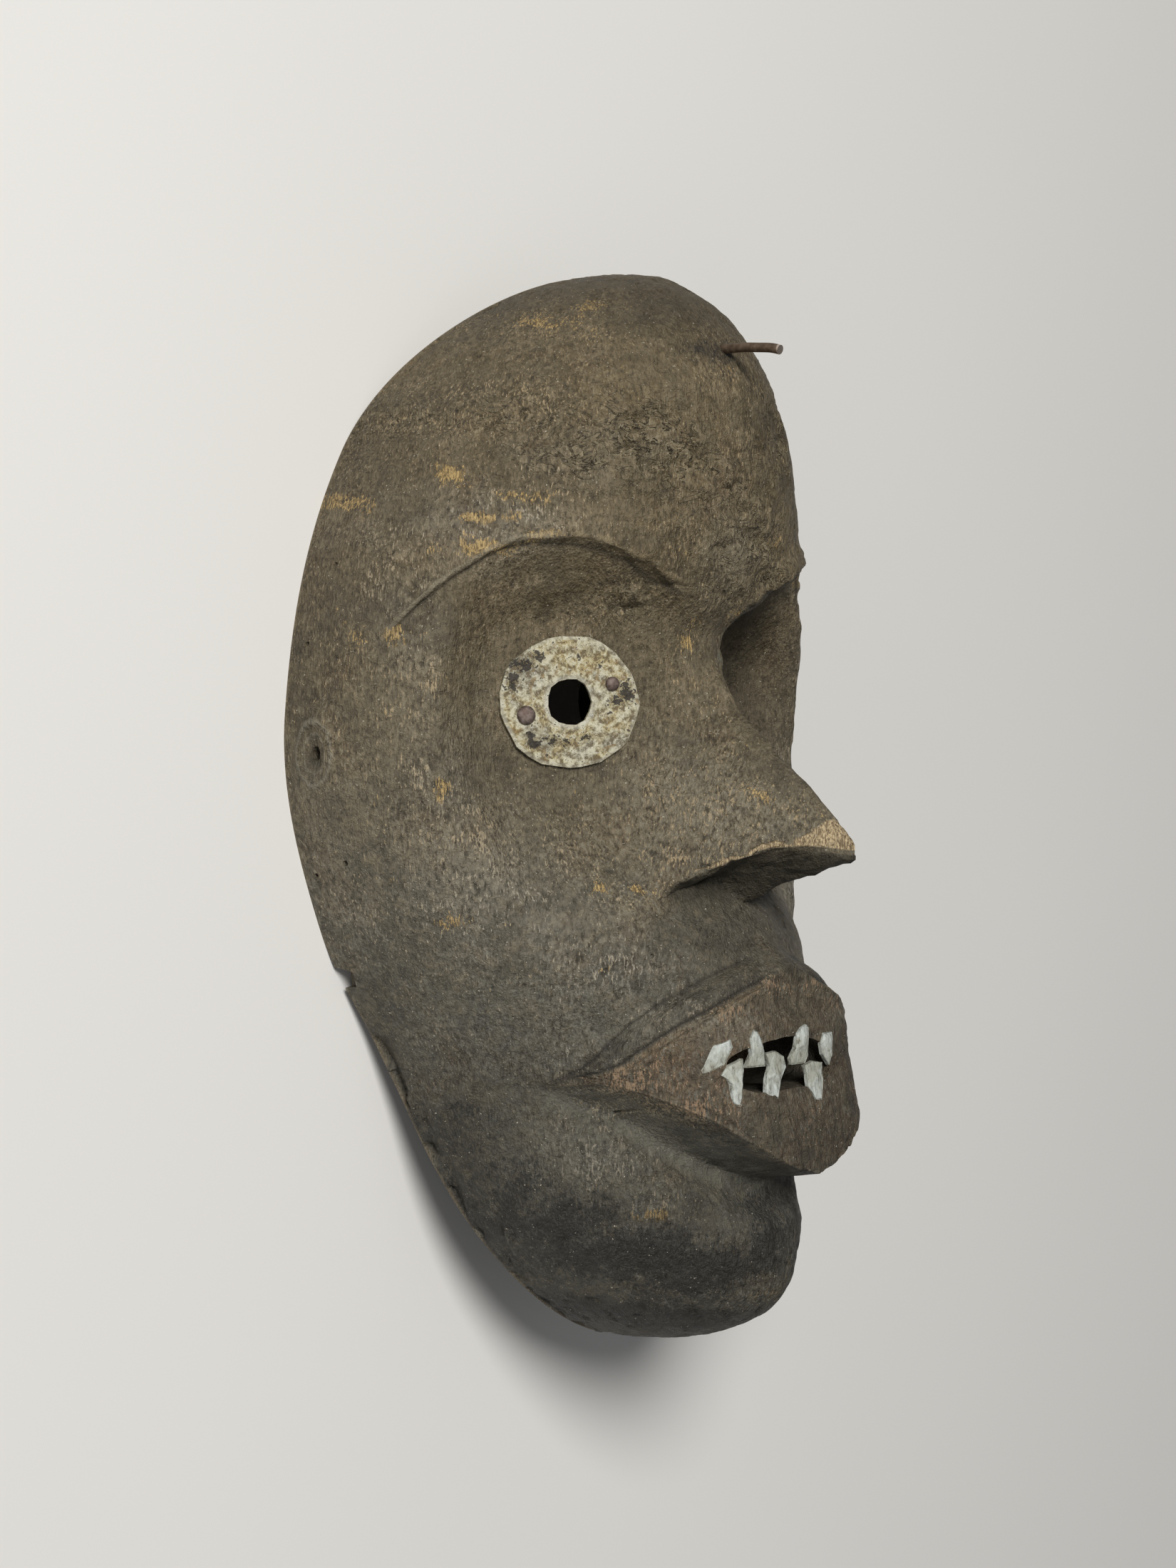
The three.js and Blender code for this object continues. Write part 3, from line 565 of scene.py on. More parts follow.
marks = {
    "wear": patch(-ax, py, NEAR_WEAR),
    "ochre": patch(-ax, py, OCHRE),
    "grey": patch(-ax, py, GREY_SHEEN) * (1 - lip_area),
    "dark": patch(px, py, DARK) * outer,
    "soot": soot * (1 - inside * (1 - hidden)),
    "sheen": patch(-ax, py, PAINTED_SHEEN) * outer,
    "shade": np.maximum(patch(px, py, SHADE), far_socket) * outer,
    "under_lip": under_lip * outer,
    "lip": lip_area * (1 - hidden),
    "bark": patch(px, py, BARK),
    "brow_mm": (brow(ax) - py).clip(-30, 30),
    "shelf": shelf * outer,
    "temple": smooth((ax - 42) / 10),
    "nose_mm": (py - nose_edge(ax)).clip(-20, 20),
    "raw_mm": (5.2 * smooth((8 - ax) / 7) + 1.5) * smooth((23 - ax) / 9) * outer,
    "lip_mm": over.clip(-20, 20),
    "fold_mm": (over - 0.7 - 3.8 * smooth((45 - lx) / 12)).clip(-20, 20),
    "foot_mm": (lip_foot(lx) - py).clip(-20, 20),
    "shut": shut * outer,
    "brink": (1 - smooth((pz - rim(py) - 0.2) / 1.5)) * (1 - within),
    "by_knot": (px < -66).astype(float),
    "inside": inside}
for name, values in marks.items():
    set_mark(mask, name, values)
soften(mask, 48)


class Wire:
    """A node's output that can be reckoned with like a number."""

    def __init__(self, tree, socket=None):
        self.tree, self.socket = tree, socket

    def node(self, kind, settings=None, sockets=None, out=0):
        made = self.tree.nodes.new(kind if "Node" in kind else "ShaderNode" + kind)
        for key, value in (settings or {}).items():
            setattr(made, key, value)
        for key, value in (sockets or {}).items():
            if isinstance(value, Wire):
                self.tree.links.new(value.socket, made.inputs[key])
            else:
                made.inputs[key].default_value = (*value, 1) if made.inputs[key].type == "RGBA" else value
        return Wire(self.tree, made.outputs[out])

    def sum(self, how, a, b, clamp=False):
        return self.node("Math", {"operation": how, "use_clamp": clamp}, {0: a, 1: b})

    def __add__(self, other):
        return self.sum("ADD", self, other)

    def __radd__(self, other):
        return self.sum("ADD", other, self)

    def __sub__(self, other):
        return self.sum("SUBTRACT", self, other)

    def __rsub__(self, other):
        return self.sum("SUBTRACT", other, self)

    def __mul__(self, other):
        return self.sum("MULTIPLY", self, other)

    def __rmul__(self, other):
        return self.sum("MULTIPLY", other, self)

    def over(self, low, span):
        return self.sum("DIVIDE", self - low, span, clamp=True)

    def near(self, at, half):
        away = self.sum("ABSOLUTE", self - at, 0.0)
        return self.sum("SUBTRACT", 1.0, away * (1 / half), clamp=True)

    def tint(self, share, under, above):
        return self.node("Mix", {"data_type": "RGBA"}, {0: share, 6: under, 7: above}, out=2)

    def layered(self, ground, layers):
        for share, above in layers:
            ground = self.tint(share, ground, above)
        return ground

    def noise(self, at, scale, detail=2.0, roughness=0.5, twist=0.0):
        values = {"Scale": scale, "Detail": detail, "Roughness": roughness, "Distortion": twist}
        return self.node("TexNoise", {}, {"Vector": at, **values})

    def drawn(self, at, along):
        return self.node("Mapping", {}, {"Vector": at, "Scale": (1.0, along, 1.0)})

    def mark(self, name):
        return self.node("Attribute", {"attribute_name": name}, out="Fac")

    def bumps(self, strength, distance):
        return self.node("Bump", {}, {"Strength": strength, "Distance": distance, "Height": self})


def finish(name, **fixed):
    made = bpy.data.materials.new(name)
    made.use_nodes = True
    shader = made.node_tree.nodes["Principled BSDF"]
    for key, value in fixed.items():
        shader.inputs[key.replace("_", " ")].default_value = value
    ink = Wire(made.node_tree)

    def feed(**wires):
        for key, wire in wires.items():
            made.node_tree.links.new(wire.socket, shader.inputs[key.replace("_", " ")])

    return made, ink, ink.node("TexCoord", out="Object"), feed


wood, ink, where, feed = finish("dark_worn_wood", Specular_IOR_Level=0.32)
on = {name: ink.mark(name) for name in marks}
split = {axis: ink.node("SeparateXYZ", {}, {0: where}, out=axis) for axis in "XYZ"}
height_up = split["Y"].over(-0.045, 0.1)
low = (split["Y"] * -1).over(0.03, 0.05)
high = split["Y"].over(0.085, 0.04)
# Patterns, from hair-thin fibre to broad drift.
fibre = ink.noise(ink.drawn(where, 0.26), 2100, 3, 0.6, 0.3)
hair = ink.noise(ink.drawn(where, 0.14), 2900, 2, 0.5, 0.2)
grit = ink.noise(where, 1900, 3, 0.6)
speck = ink.noise(where, 1700, 1, 0.5)
fleck = ink.noise(ink.drawn(where, 0.55), 900, 3, 0.65, 0.4)
crumb = ink.noise(where, 560, 4, 0.7, 0.5)
band = ink.noise(ink.drawn(where, 0.22), 420, 4, 0.6, 0.4)
flaw = ink.noise(ink.drawn(where, 1.5), 180, 4, 0.62, 0.9)
clump = ink.noise(where, 170, 5, 0.68)
mottle = ink.noise(where, 150, 6, 0.66)
tone = ink.noise(where, 61, 5, 0.62, 0.4)
drift = ink.noise(where, 34, 5, 0.6)
jag = (clump - 0.5) * 2.2 + (crumb - 0.5) * 1.4
# Coarse grain, bare fibre, yellow rubs, lifted crust and dark patches.
coarse = (tone + on["wear"] * 0.16 + on["bark"] * 0.2).over(0.44, 0.16)
worn = on["wear"] * clump.over(0.4, 0.2)
pale = (fibre + worn * 0.185 + band * 0.14 + coarse * 0.035).over(0.72, 0.05)
patchy = (on["ochre"] + (clump - 0.5) * 2.4 + (fibre - 0.5) * 2.0).over(0.68, 0.08)
chip = flaw.near(0.5, 0.018) * (on["bark"] * 0.9 + coarse * mottle.over(0.5, 0.12) * 0.45)
blotch = on["dark"] + (mottle - 0.5) * 1.5 + (clump - 0.5) * 1.2 + (fibre - 0.5) * 2.0
blotch = blotch.over(0.24, 0.4) * on["dark"].over(0.06, 0.2)
# Cut under the brow with painted shade in it, and its edge, pale from wear with a painted highlight; roll
# and foot of the lips, with painted shade in the creases and a painted highlight on the edges; split nose,
# rings of the knot.
below = on["brow_mm"] + jag * 0.6
under_brow = below.near(1.2, 1.1) * on["shelf"]
broken = (clump * 1.2 + crumb * 0.5 + on["temple"] * 0.15).over(0.82, 0.16)
edge_line = (below.near(-0.6, 1.1) * 1.6).over(0.3, 0.4) * on["shelf"] * broken
over_lip = on["lip_mm"] + jag * 0.35
at_fold = (on["fold_mm"] + jag * 0.3).near(0.0, 0.8)
roll = on["shut"] * (over_lip.near(0.5, 1.0) * 0.9 + at_fold * 0.8 + over_lip.near(2.2, 2.4) * 0.4)
at_foot = (on["foot_mm"] + jag * 0.4).near(-0.5, 0.6)
lip_edge_highlight = on["shut"] * (over_lip.near(-0.8, 0.6) + at_foot) * clump.over(0.5, 0.15)
split_wood = (on["raw_mm"] + jag * 1.6 - on["nose_mm"]).over(0.2, 0.5)
split_wood = split_wood * on["nose_mm"].over(0.0, 0.35) * on["raw_mm"].over(0.2, 0.5)
up = (split["Y"] - float(KNOT[1]) / 1000) * (1000 / KNOT_TALL)
out = (split["Z"] - float(KNOT[2]) / 1000) * (1000 / KNOT_DEEP)
from_knot = ink.sum("POWER", up * up + out * out, 0.5) + jag * 0.22
ringed = (from_knot.near(1.02, 0.13) + from_knot.near(0.62, 0.1) * 0.6) * on["by_knot"]
# Colours that vary, then the layers from the ground up: how much of each, and its colour.
cool = ink.tint(drift.over(0.38, 0.24), (0.06, 0.057, 0.044), (0.116, 0.113, 0.092))
warm = ink.tint(drift.over(0.38, 0.24), (0.086, 0.063, 0.03), (0.15, 0.112, 0.058))
of_lip = ink.tint(tone.over(0.4, 0.2), (0.07, 0.055, 0.035), (0.128, 0.084, 0.048))
light = ink.tint(height_up, (0.215, 0.207, 0.168), (0.245, 0.2, 0.126))
bare = ink.tint(on["grey"], (0.34, 0.262, 0.155), (0.36, 0.335, 0.28))
bare = ink.tint(on["lip"], bare, (0.33, 0.225, 0.14))
gold = ink.tint(hair.over(0.38, 0.2), (0.15, 0.098, 0.04), (0.48, 0.34, 0.145))
# Colour of the painted shade, with dirt under the nose.
painted_shade_brown = ink.tint(band.over(0.4, 0.25), (0.017, 0.015, 0.01), (0.05, 0.044, 0.031))
worn_edge_and_highlight = ink.tint(on["temple"], (0.24, 0.19, 0.112), (0.275, 0.24, 0.172))
wan = ink.tint(hair.over(0.36, 0.22), (0.16, 0.11, 0.06), (0.5, 0.395, 0.24))
wan = ink.tint((1 - fibre.over(0.4, 0.1)) * 0.75, wan, (0.11, 0.078, 0.045))
raw = ink.tint(band.over(0.35, 0.3), (0.08, 0.057, 0.034), (0.16, 0.115, 0.07))
raw = ink.tint(fibre.over(0.34, 0.3) * 0.5, raw, (0.12, 0.089, 0.055))
colour = ink.layered(ink.tint(height_up, cool, warm), [
    (tone.over(0.5, 0.16) * 0.5, (0.112, 0.075, 0.04)),
    # Painted grey sheen on the smoother, shinier wood.
    (on["grey"] * mottle.over(0.38, 0.22) * 0.8, (0.112, 0.112, 0.101)),
    (on["lip"] * 0.8, of_lip),
    ((1 - tone.over(0.36, 0.16)) * 0.45, (0.05, 0.042, 0.028)),
    (mottle.over(0.46, 0.16) * 0.45, (0.17, 0.138, 0.088)),
    ((1 - mottle.over(0.3, 0.18)) * 0.6, (0.044, 0.036, 0.024)),
    (crumb.over(0.5, 0.16) * 0.45, (0.215, 0.178, 0.112)),
    (fleck.over(0.54, 0.06) * (coarse * 0.45 + 0.1), light),
    ((1 - fleck.over(0.38, 0.07)) * (coarse * 0.4 + 0.2), (0.028, 0.024, 0.016)),
    ((1 - fibre.over(0.34, 0.14)) * 0.55, (0.034, 0.027, 0.018)),
    (pale * 0.85, bare),
    (patchy * 0.95, gold),
    ((1 - crumb.over(0.32, 0.08)) * 0.65, (0.026, 0.021, 0.014)),
    (flaw.near(0.55, 0.04) * on["bark"] * 0.55, (0.26, 0.222, 0.145)),
    (chip, (0.022, 0.018, 0.012)),
    # Darker towards the chin and the crown: painted shade where the light falls off, on wood that is also
    # darker there.
    (low * 0.42 + high * 0.3, (0.022, 0.022, 0.019)),
    # Painted light lifting the shadow under the lower lip.
    (on["under_lip"] * mottle.over(0.3, 0.3) * 0.6, (0.15, 0.147, 0.12)),
    # Painted sheen on the faces that catch the light.
    (on["sheen"] * fleck.over(0.34, 0.24) * 0.45, (0.245, 0.218, 0.165)),
    (blotch * 0.84, (0.0125, 0.0122, 0.0112)),
    # Painted shade in the hollows and under the nose and the nail, with dirt under the nose.
    (on["soot"] * (mottle * 0.5 + 0.6), painted_shade_brown),
    # Painted shade in the cut under the brow ledge.
    (under_brow * 0.8, (0.03, 0.024, 0.015)),
    # Brow edge pale from wear, with a painted grey-white highlight towards the temples.
    (edge_line * 0.5, worn_edge_and_highlight),
    (on["shade"] * 0.55, (0.026, 0.02, 0.013)),
    # Painted shade in the creases along the lips' roll and fold.
    (roll, (0.024, 0.021, 0.016)),
    # Painted highlight along the lips' upper edge and along their foot.
    (lip_edge_highlight * 0.5, (0.24, 0.18, 0.11)),
    (split_wood * 0.92, wan),
    (speck.over(0.745, 0.02) * (1 - on["soot"]) * 0.7, (0.5, 0.46, 0.37)),
    ((1 - from_knot.over(0.25, 0.5)) * on["by_knot"] * 0.75, (0.04, 0.033, 0.022)),
    (ringed * 0.6, (0.21, 0.195, 0.15)),
    ((on["brink"] + mottle * 0.5).over(0.8, 0.4) * 0.45, (0.175, 0.138, 0.088)),
    (on["inside"] * (1 - on["soot"]), raw)])
rough = 0.6 + (mottle - 0.5) * 0.5 - on["grey"] * 0.12 - blotch * 0.1
plates = (flaw.over(0.5, 0.02) * (on["bark"] * 0.5 + 0.1) - chip * 0.3) * (1 - on["inside"])
height = fibre * 0.5 + hair * 0.15 + crumb * 0.7 + grit * 0.12 + mottle * 1.2 + fleck * 0.45
height = height + band * 0.4 + plates + pale * 0.06 - patchy * 0.08 - split_wood * 0.3
height = height - under_brow * 0.2 - roll * 0.2 + ringed * 0.3
feed(Base_Color=colour, Roughness=rough, Normal=height.bumps(1.0, 0.001))
mask.data.materials.clear()
mask.data.materials.append(wood)
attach(mask, "root")
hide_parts("mask_body")

# Eye rings. Two rounds of thin sheet metal snipped out by hand, dented, crusted pale and flaking to bare
# dark metal. Each lies on the dressed wood of its socket, held by two tacks.
DISC_ACROSS, DISC_TALL, DISC_THICK, DISC_HOLE, SEAT_GAP = 16.6, 15.0, 1.0, 5.3, 0.3
DISC_SIDES, HOLE_SIDES = 23, 15


def walked(corners, per_side):
    corners = np.array(corners)
    after = np.roll(corners, -1, 0)
    t = np.arange(per_side) / per_side
    return (corners[:, None] * (1 - t)[None, :, None] + after[:, None] * t[None, :, None]).reshape(-1, 2)


def disc_corner(i):
    a = 2 * np.pi * (i + 0.28 * np.sin(2.3 * i)) / DISC_SIDES
    snip = 1 + 0.014 * np.sin(5.1 * i + 0.6) + 0.008 * np.cos(2.7 * i)
    return DISC_ACROSS * snip * np.cos(a), DISC_TALL * snip * np.sin(a)


def hole_corner(i):
    r = DISC_HOLE * (1 + 0.035 * np.sin(4.4 * i))
    a = 2 * np.pi * i / HOLE_SIDES
    return r * np.cos(a), r * np.sin(a)


# Spots where the crust has flaked off: x, y, half sizes, strength.
FLAKES = [
    (-11.6, 8.2, 3.4, 2.6, 1.0), (-13.2, 4.4, 1.8, 2.8, 1.0), (-8.6, 10.2, 2.6, 1.6, 0.8),
    (-9.3, -7.6, 2.2, 1.2, 0.8), (-8.2, -9.6, 3.0, 1.5, 0.95), (-4.6, -9.0, 2.4, 2.0, 0.8),
    (-1.0, -9.6, 1.8, 1.4, 0.7), (3.4, -8.0, 2.2, 1.4, 0.7), (13.4, 2.0, 1.8, 2.8, 0.85),
    (10.8, 0.0, 2.0, 1.6, 0.7), (7.6, 8.6, 1.5, 1.2, 0.55), (2.0, 10.0, 2.0, 1.0, 0.45)]


def eye_ring(name, side):
    outer = walked([disc_corner(i) for i in range(DISC_SIDES)], 9)
    inner = walked([hole_corner(i) for i in range(HOLE_SIDES)], 16)
    count = len(outer)
    start = int(np.argmin(np.abs(np.arctan2(inner[:, 1], inner[:, 0]))))
    pick = np.arange(count) * len(inner) / count
    inner = inner[(np.round(pick).astype(int) + start) % len(inner)]
    steps = np.concatenate([[0.0, 0.015], np.linspace(0.06, 0.94, 24), [0.985, 1.0]])
    flat = inner[None] * (1 - steps)[:, None, None] + outer[None] * steps[:, None, None]
    spot = np.concatenate([flat, np.full(flat.shape[:2] + (1,), 5.0 * side)], -1)
    u = flat[..., 0] * -side
    flake = patch(u, flat[..., 1], FLAKES)
    shed = smooth((flake + (billow(spot, 1.5, 3, 13) - 0.5) * 1.8 - 0.5) / 0.2)
    crust = 0.2 * (billow(spot, 2.0, 3, 19) - 0.5) + 0.3 * (billow(spot, 9.0, 1, 29) - 0.5) - 0.14 * shed
    edge = np.minimum(smooth(steps / 0.05), smooth((1 - steps) / 0.05))[:, None]
    top = SEAT_GAP + DISC_THICK - 0.16 + (0.16 + crust) * edge
    up = np.concatenate([flat, top[..., None]], -1)
    low = np.concatenate([flat[[0, -1]], np.full((2, count, 1), SEAT_GAP)], -1)
    layers = np.concatenate([low[:1], up, low[1:]])
    n = len(layers)
    points = on_eye(layers.reshape(-1, 3), side) / 1000
    faces = []
    for i in range(n):
        k = (i + 1) % n
        for j in range(count):
            q = (j + 1) % count
            faces.append((i * count + j, k * count + j, k * count + q, i * count + q))
    piece = make_mesh(name, points, faces)
    lip = np.maximum(bump((steps - 0.04) / 0.1), 0.8 * bump((steps - 0.97) / 0.07))
    lip = np.repeat(lip[:, None], count, 1)
    for key, values in (("flake", flake), ("lip_of_ring", lip)):
        set_mark(piece, key, np.concatenate([np.zeros((1, count)), values, np.zeros((1, count))]))
    soften(piece, 50)
    return piece


sheet, ink, where, feed = finish("crusted_sheet_metal", Specular_IOR_Level=0.4)
broad = ink.noise(where, 120, 4, 0.6, 0.4)
fine = ink.noise(where, 620, 5, 0.68, 0.3)
pin = ink.noise(where, 1500, 4, 0.7)
vein = ink.noise(where, 260, 3, 0.6, 1.2)
bloom = ink.layered(ink.tint(broad.over(0.4, 0.2), (0.275, 0.262, 0.2), (0.345, 0.285, 0.145)), [
    (fine.over(0.5, 0.08) * 0.8, (0.53, 0.505, 0.385)),
    ((1 - fine.over(0.42, 0.07)) * 0.85, (0.1, 0.072, 0.036)),
    (vein.over(0.56, 0.08) * 0.6, (0.23, 0.15, 0.06)),
    (pin.over(0.6, 0.06) * 0.7, (0.62, 0.61, 0.54)),
    ((1 - pin.over(0.32, 0.06)) * 0.85, (0.045, 0.035, 0.022)),
    (ink.mark("lip_of_ring") * broad.over(0.42, 0.16) * 0.6, (0.47, 0.48, 0.43))])
bare = ink.tint(fine.over(0.42, 0.2), (0.01, 0.008, 0.006), (0.038, 0.031, 0.023))
shed = (ink.mark("flake") + (fine - 0.5) * 3.2 + (pin - 0.5) * 1.4 + (vein - 0.5) * 1.6).over(0.6, 0.04)
feed(
    Base_Color=ink.tint(shed * 0.96, bloom, bare),
    Roughness=0.74 - shed * 0.16 + (broad - 0.5) * 0.2,
    Metallic=0.06 + shed * 0.1,
    Normal=(fine * 1.2 + pin * 0.5 + broad - shed * 0.5).bumps(0.9, 0.0005))
for side, word in ((-1, "right"), (1, "left")):
    disc = eye_ring(f"eye_ring_{word}", side)
    disc.data.materials.append(sheet)
    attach(disc, "root")
    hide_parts(f"eye_disc_{word}")

# Nails in the rings. Small hand-headed iron tacks, hammered a little flat and rusted brown. Two hold each
# ring, driven through it into the wood: across, up, radius of the head.
TACKS = [(-10.4, -3.1, 2.15), (10.0, 4.15, 1.65)]
TACK_SEAT = 2 * SEAT_GAP + DISC_THICK


def grower(name, *labels):
    tree = bpy.data.node_groups.new(name, "GeometryNodeTree")
    tree.interface.new_socket("Geometry", in_out="INPUT", socket_type="NodeSocketGeometry")
    named = {}
    for label in labels:
        socket = tree.interface.new_socket(label, in_out="INPUT", socket_type="NodeSocketFloat")
        named[label] = socket.identifier
    tree.interface.new_socket("Geometry", in_out="OUTPUT", socket_type="NodeSocketGeometry")
    ink = Wire(tree)

    def given(label):
        return ink.node("NodeGroupInput", out=label)

    def end(shape, material):
        shape = ink.node("GeometryNodeSetMaterial", {}, {"Geometry": shape, "Material": material})
        tree.links.new(shape.socket, tree.nodes.new("NodeGroupOutput").inputs["Geometry"])
        return tree, named

    return ink, given, end


def tack_tree(material):
    ink, given, end = grower("tacks", "Head height", "Dents")
    flat = ink.node("CombineXYZ", {}, {"X": 1.0, "Y": 1.0, "Z": given("Head height")})
    ball = ink.node("GeometryNodeMeshUVSphere", {}, {"Segments": 28, "Rings": 16, "Radius": 1.0}, "Mesh")
    head = ink.node("GeometryNodeTransform", {}, {"Geometry": ball, "Scale": flat})
    size = ink.node("GeometryNodeInputNamedAttribute", {"data_type": "FLOAT"}, {"Name": "size"}, "Attribute")
    facing = ink.node(
        "GeometryNodeInputNamedAttribute", {"data_type": "FLOAT_VECTOR"}, {"Name": "facing"}, "Attribute")
    turn = ink.node("FunctionNodeAlignRotationToVector", {"axis": "Z"}, {"Vector": facing}, "Rotation")
    sockets = {"Points": given("Geometry"), "Instance": head, "Rotation": turn, "Scale": size}
    heads = ink.node("GeometryNodeInstanceOnPoints", {}, sockets, "Instances")
    heads = ink.node("GeometryNodeRealizeInstances", {}, {"Geometry": heads})
    at = ink.node("GeometryNodeInputPosition")
    noise = ink.node("TexNoise", {}, {"Vector": at, "Scale": 900.0}, "Color")
    shift = ink.node("VectorMath", {"operation": "SUBTRACT"}, {0: noise, 1: (0.5, 0.5, 0.5)})
    shift = ink.node("VectorMath", {"operation": "SCALE"}, {0: shift, "Scale": given("Dents")})
    heads = ink.node("GeometryNodeSetPosition", {}, {"Geometry": heads, "Offset": shift})
    return end(ink.node("GeometryNodeSetShadeSmooth", {}, {"Geometry": heads}), material)


def settle(piece, tree, inputs):
    grow = piece.modifiers.new("grow", "NODES")
    grow.node_group = tree
    for key, value in inputs.items():
        grow[key] = value
    made = bpy.data.meshes.new_from_object(piece.evaluated_get(bpy.context.evaluated_depsgraph_get()))
    made.name = piece.name
    name = piece.name
    bpy.data.objects.remove(piece)
    fresh = bpy.data.objects.new(name, made)
    bpy.context.collection.objects.link(fresh)
    return fresh


iron, ink, where, feed = finish("rusted_iron", Specular_IOR_Level=0.5)
rust = ink.noise(where, 700, 4, 0.65)
shine = ink.noise(where, 260, 2, 0.5)
brown = ink.tint(rust.over(0.38, 0.24), (0.08, 0.055, 0.045), (0.175, 0.135, 0.12))
feed(
    Base_Color=ink.tint(shine.over(0.55, 0.15) * 0.5, brown, (0.22, 0.18, 0.15)),
    Roughness=0.45 + rust * 0.4,
    Metallic=0.75 - rust.over(0.5, 0.2) * 0.45,
    Normal=rust.bumps(0.4, 0.0002))
tree, named = tack_tree(iron)
for side, word in ((-1, "right"), (1, "left")):
    seats = on_eye([(-side * u, v, TACK_SEAT + 0.02) for u, v, _ in TACKS], side) / 1000
    points = make_mesh(f"tacks_{word}", seats, [])
    set_mark(points, "size", [r / 1000 for _, _, r in TACKS])
    facing = points.data.attributes.new("facing", "FLOAT_VECTOR", "POINT")
    away = (side * np.sin(EYE_TILT), 0.0, np.cos(EYE_TILT))
    facing.data.foreach_set("vector", [*away, *away])
    tacks = settle(points, tree, {named["Head height"]: 0.44, named["Dents"]: 0.00028})
    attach(tacks, "root")
    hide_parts(f"disc_nail_{word}_outer", f"disc_nail_{word}_inner")

# Teeth. Seven thin splinters of bone-pale material pressed into the lips, each by its narrow root, with the
# wide crown across the opening. Upper and lower ones take turns.
TEETH = {
    "tooth_upper_1": [
        (-24.2, -52.4), (-24.8, -54.5), (-25.9, -57.8), (-25.8, -58.5),
        (-22.4, -56.8), (-20.7, -52.9), (-21.1, -51.2)],
    "tooth_upper_2": [
        (-14.8, -49.5), (-16.2, -51.4), (-15.9, -54.8), (-17.4, -57.6),
        (-12.0, -57.6), (-12.5, -53.3), (-13.9, -49.8)],
    "tooth_upper_3": [
        (1.3, -50.0), (-0.4, -51.2), (-1.4, -54.5), (-3.3, -56.6), (-3.0, -58.0),
        (2.0, -58.0), (3.2, -56.4), (4.1, -50.2), (3.4, -49.5)],
    "tooth_upper_4": [
        (10.2, -51.9), (8.8, -54.1), (9.4, -56.7), (11.9, -59.3),
        (13.4, -57.1), (14.0, -53.6), (13.8, -51.9)],
    "tooth_lower_1": [
        (-23.0, -58.9), (-21.7, -59.8), (-21.0, -61.0), (-21.0, -64.9), (-20.1, -65.8),
        (-19.4, -65.8), (-18.1, -58.0), (-18.3, -55.5), (-21.5, -57.0)],
    "tooth_lower_2": [
        (-11.7, -54.8), (-10.5, -57.8), (-11.7, -60.3), (-12.6, -63.7), (-11.1, -64.9), (-9.2, -64.9),
        (-7.1, -60.8), (-5.1, -58.3), (-5.8, -55.9), (-8.5, -54.5)],
    "tooth_lower_3": [
        (1.8, -58.5), (2.4, -60.6), (2.2, -63.3), (4.7, -66.4), (6.6, -66.6),
        (8.6, -62.2), (8.6, -60.3), (9.0, -58.4), (5.3, -57.8)],
}
TOOTH_PROUD, TOOTH_SUNK = 1.0, 0.9
# Share of the outline and height of each ring, from the sunk face up over the rounded edge.
TOOTH_RINGS = [
    (0.9, -0.9), (1.0, -0.7), (1.0, 0.3), (0.975, 0.55), (0.93, 0.75), (0.85, 0.86), (0.72, 0.9),
    (0.56, 0.9), (0.4, 0.9), (0.24, 0.9), (0.1, 0.9)]


def splinter(name, outline):
    corners = np.array(outline)
    seed = sum(map(ord, name))
    edge = walked(corners, 10)
    middle = corners.mean(0)
    turn = np.arange(4) * 1.57 + 0.37 * (seed % 17)
    steep = 0.14 + 0.07 * ((seed + np.arange(4) * 7) % 5)
    slopes = np.stack([np.cos(turn), np.sin(turn)], -1) * steep[:, None]
    rings = []
    for share, level in TOOTH_RINGS:
        flat = middle + (edge - middle) * share
        spot = np.concatenate([flat, np.full((len(flat), 1), 7.0 * (seed % 9))], -1)
        worn = 0.22 * (billow(spot, 1.3, 2, seed % 40) - 0.5)
        planes = (0.1 + (flat - middle) @ slopes.T).min(1)
        lift = level * (TOOTH_PROUD if level > 0 else TOOTH_SUNK)
        lift = lift + (np.maximum(planes, -0.5) + worn) * (level > 0.5)
        rings.append(np.stack([flat[:, 0], flat[:, 1], face(flat[:, 0], flat[:, 1]) + lift], -1))
    piece = loft(name + "_splinter", rings)
    y = points_of(piece)[:, 1]
    low, high = corners[:, 1].min(), corners[:, 1].max()
    crown = (high - y) / (high - low) if "upper" in name else (y - low) / (high - low)
    set_mark(piece, "crown", crown)
    soften(piece, 20)
    return piece


bone, ink, where, feed = finish("chalky_tooth", Specular_IOR_Level=0.35)
vein = ink.noise(ink.drawn(where, 0.4), 900, 4, 0.65, 0.3)
stain = ink.noise(where, 420, 4, 0.65)
chalk = ink.tint(vein.over(0.36, 0.26), (0.26, 0.27, 0.245), (0.47, 0.505, 0.475))
grubby = (ink.mark("crown") * 0.4 + stain * 0.9).over(0.5, 0.3)
chalk = ink.tint(grubby * 0.6, chalk, (0.235, 0.225, 0.17))
chalk = ink.tint((1 - vein.over(0.32, 0.1)) * 0.75, chalk, (0.085, 0.078, 0.058))
feed(
    Base_Color=chalk,
    Roughness=0.5 + stain * 0.3,
    Normal=(vein + stain).bumps(0.9, 0.0005))
for name, outline in TEETH.items():
    tooth = splinter(name, outline)
    tooth.data.materials.append(bone)
    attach(tooth, "root")
    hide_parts(name)

# Bent nail. A cut length of iron wire driven into the top of the forehead, drooping a little. It has rusted
# brown, and its cut end is still bright.
SPIKE_X, SPIKE_Y, SPIKE_R, SPIKE_OUT = -2.6, 104.2, 1.1, 15.6
brink_z = float(face(np.array([SPIKE_X]), np.array([SPIKE_Y]))[0])
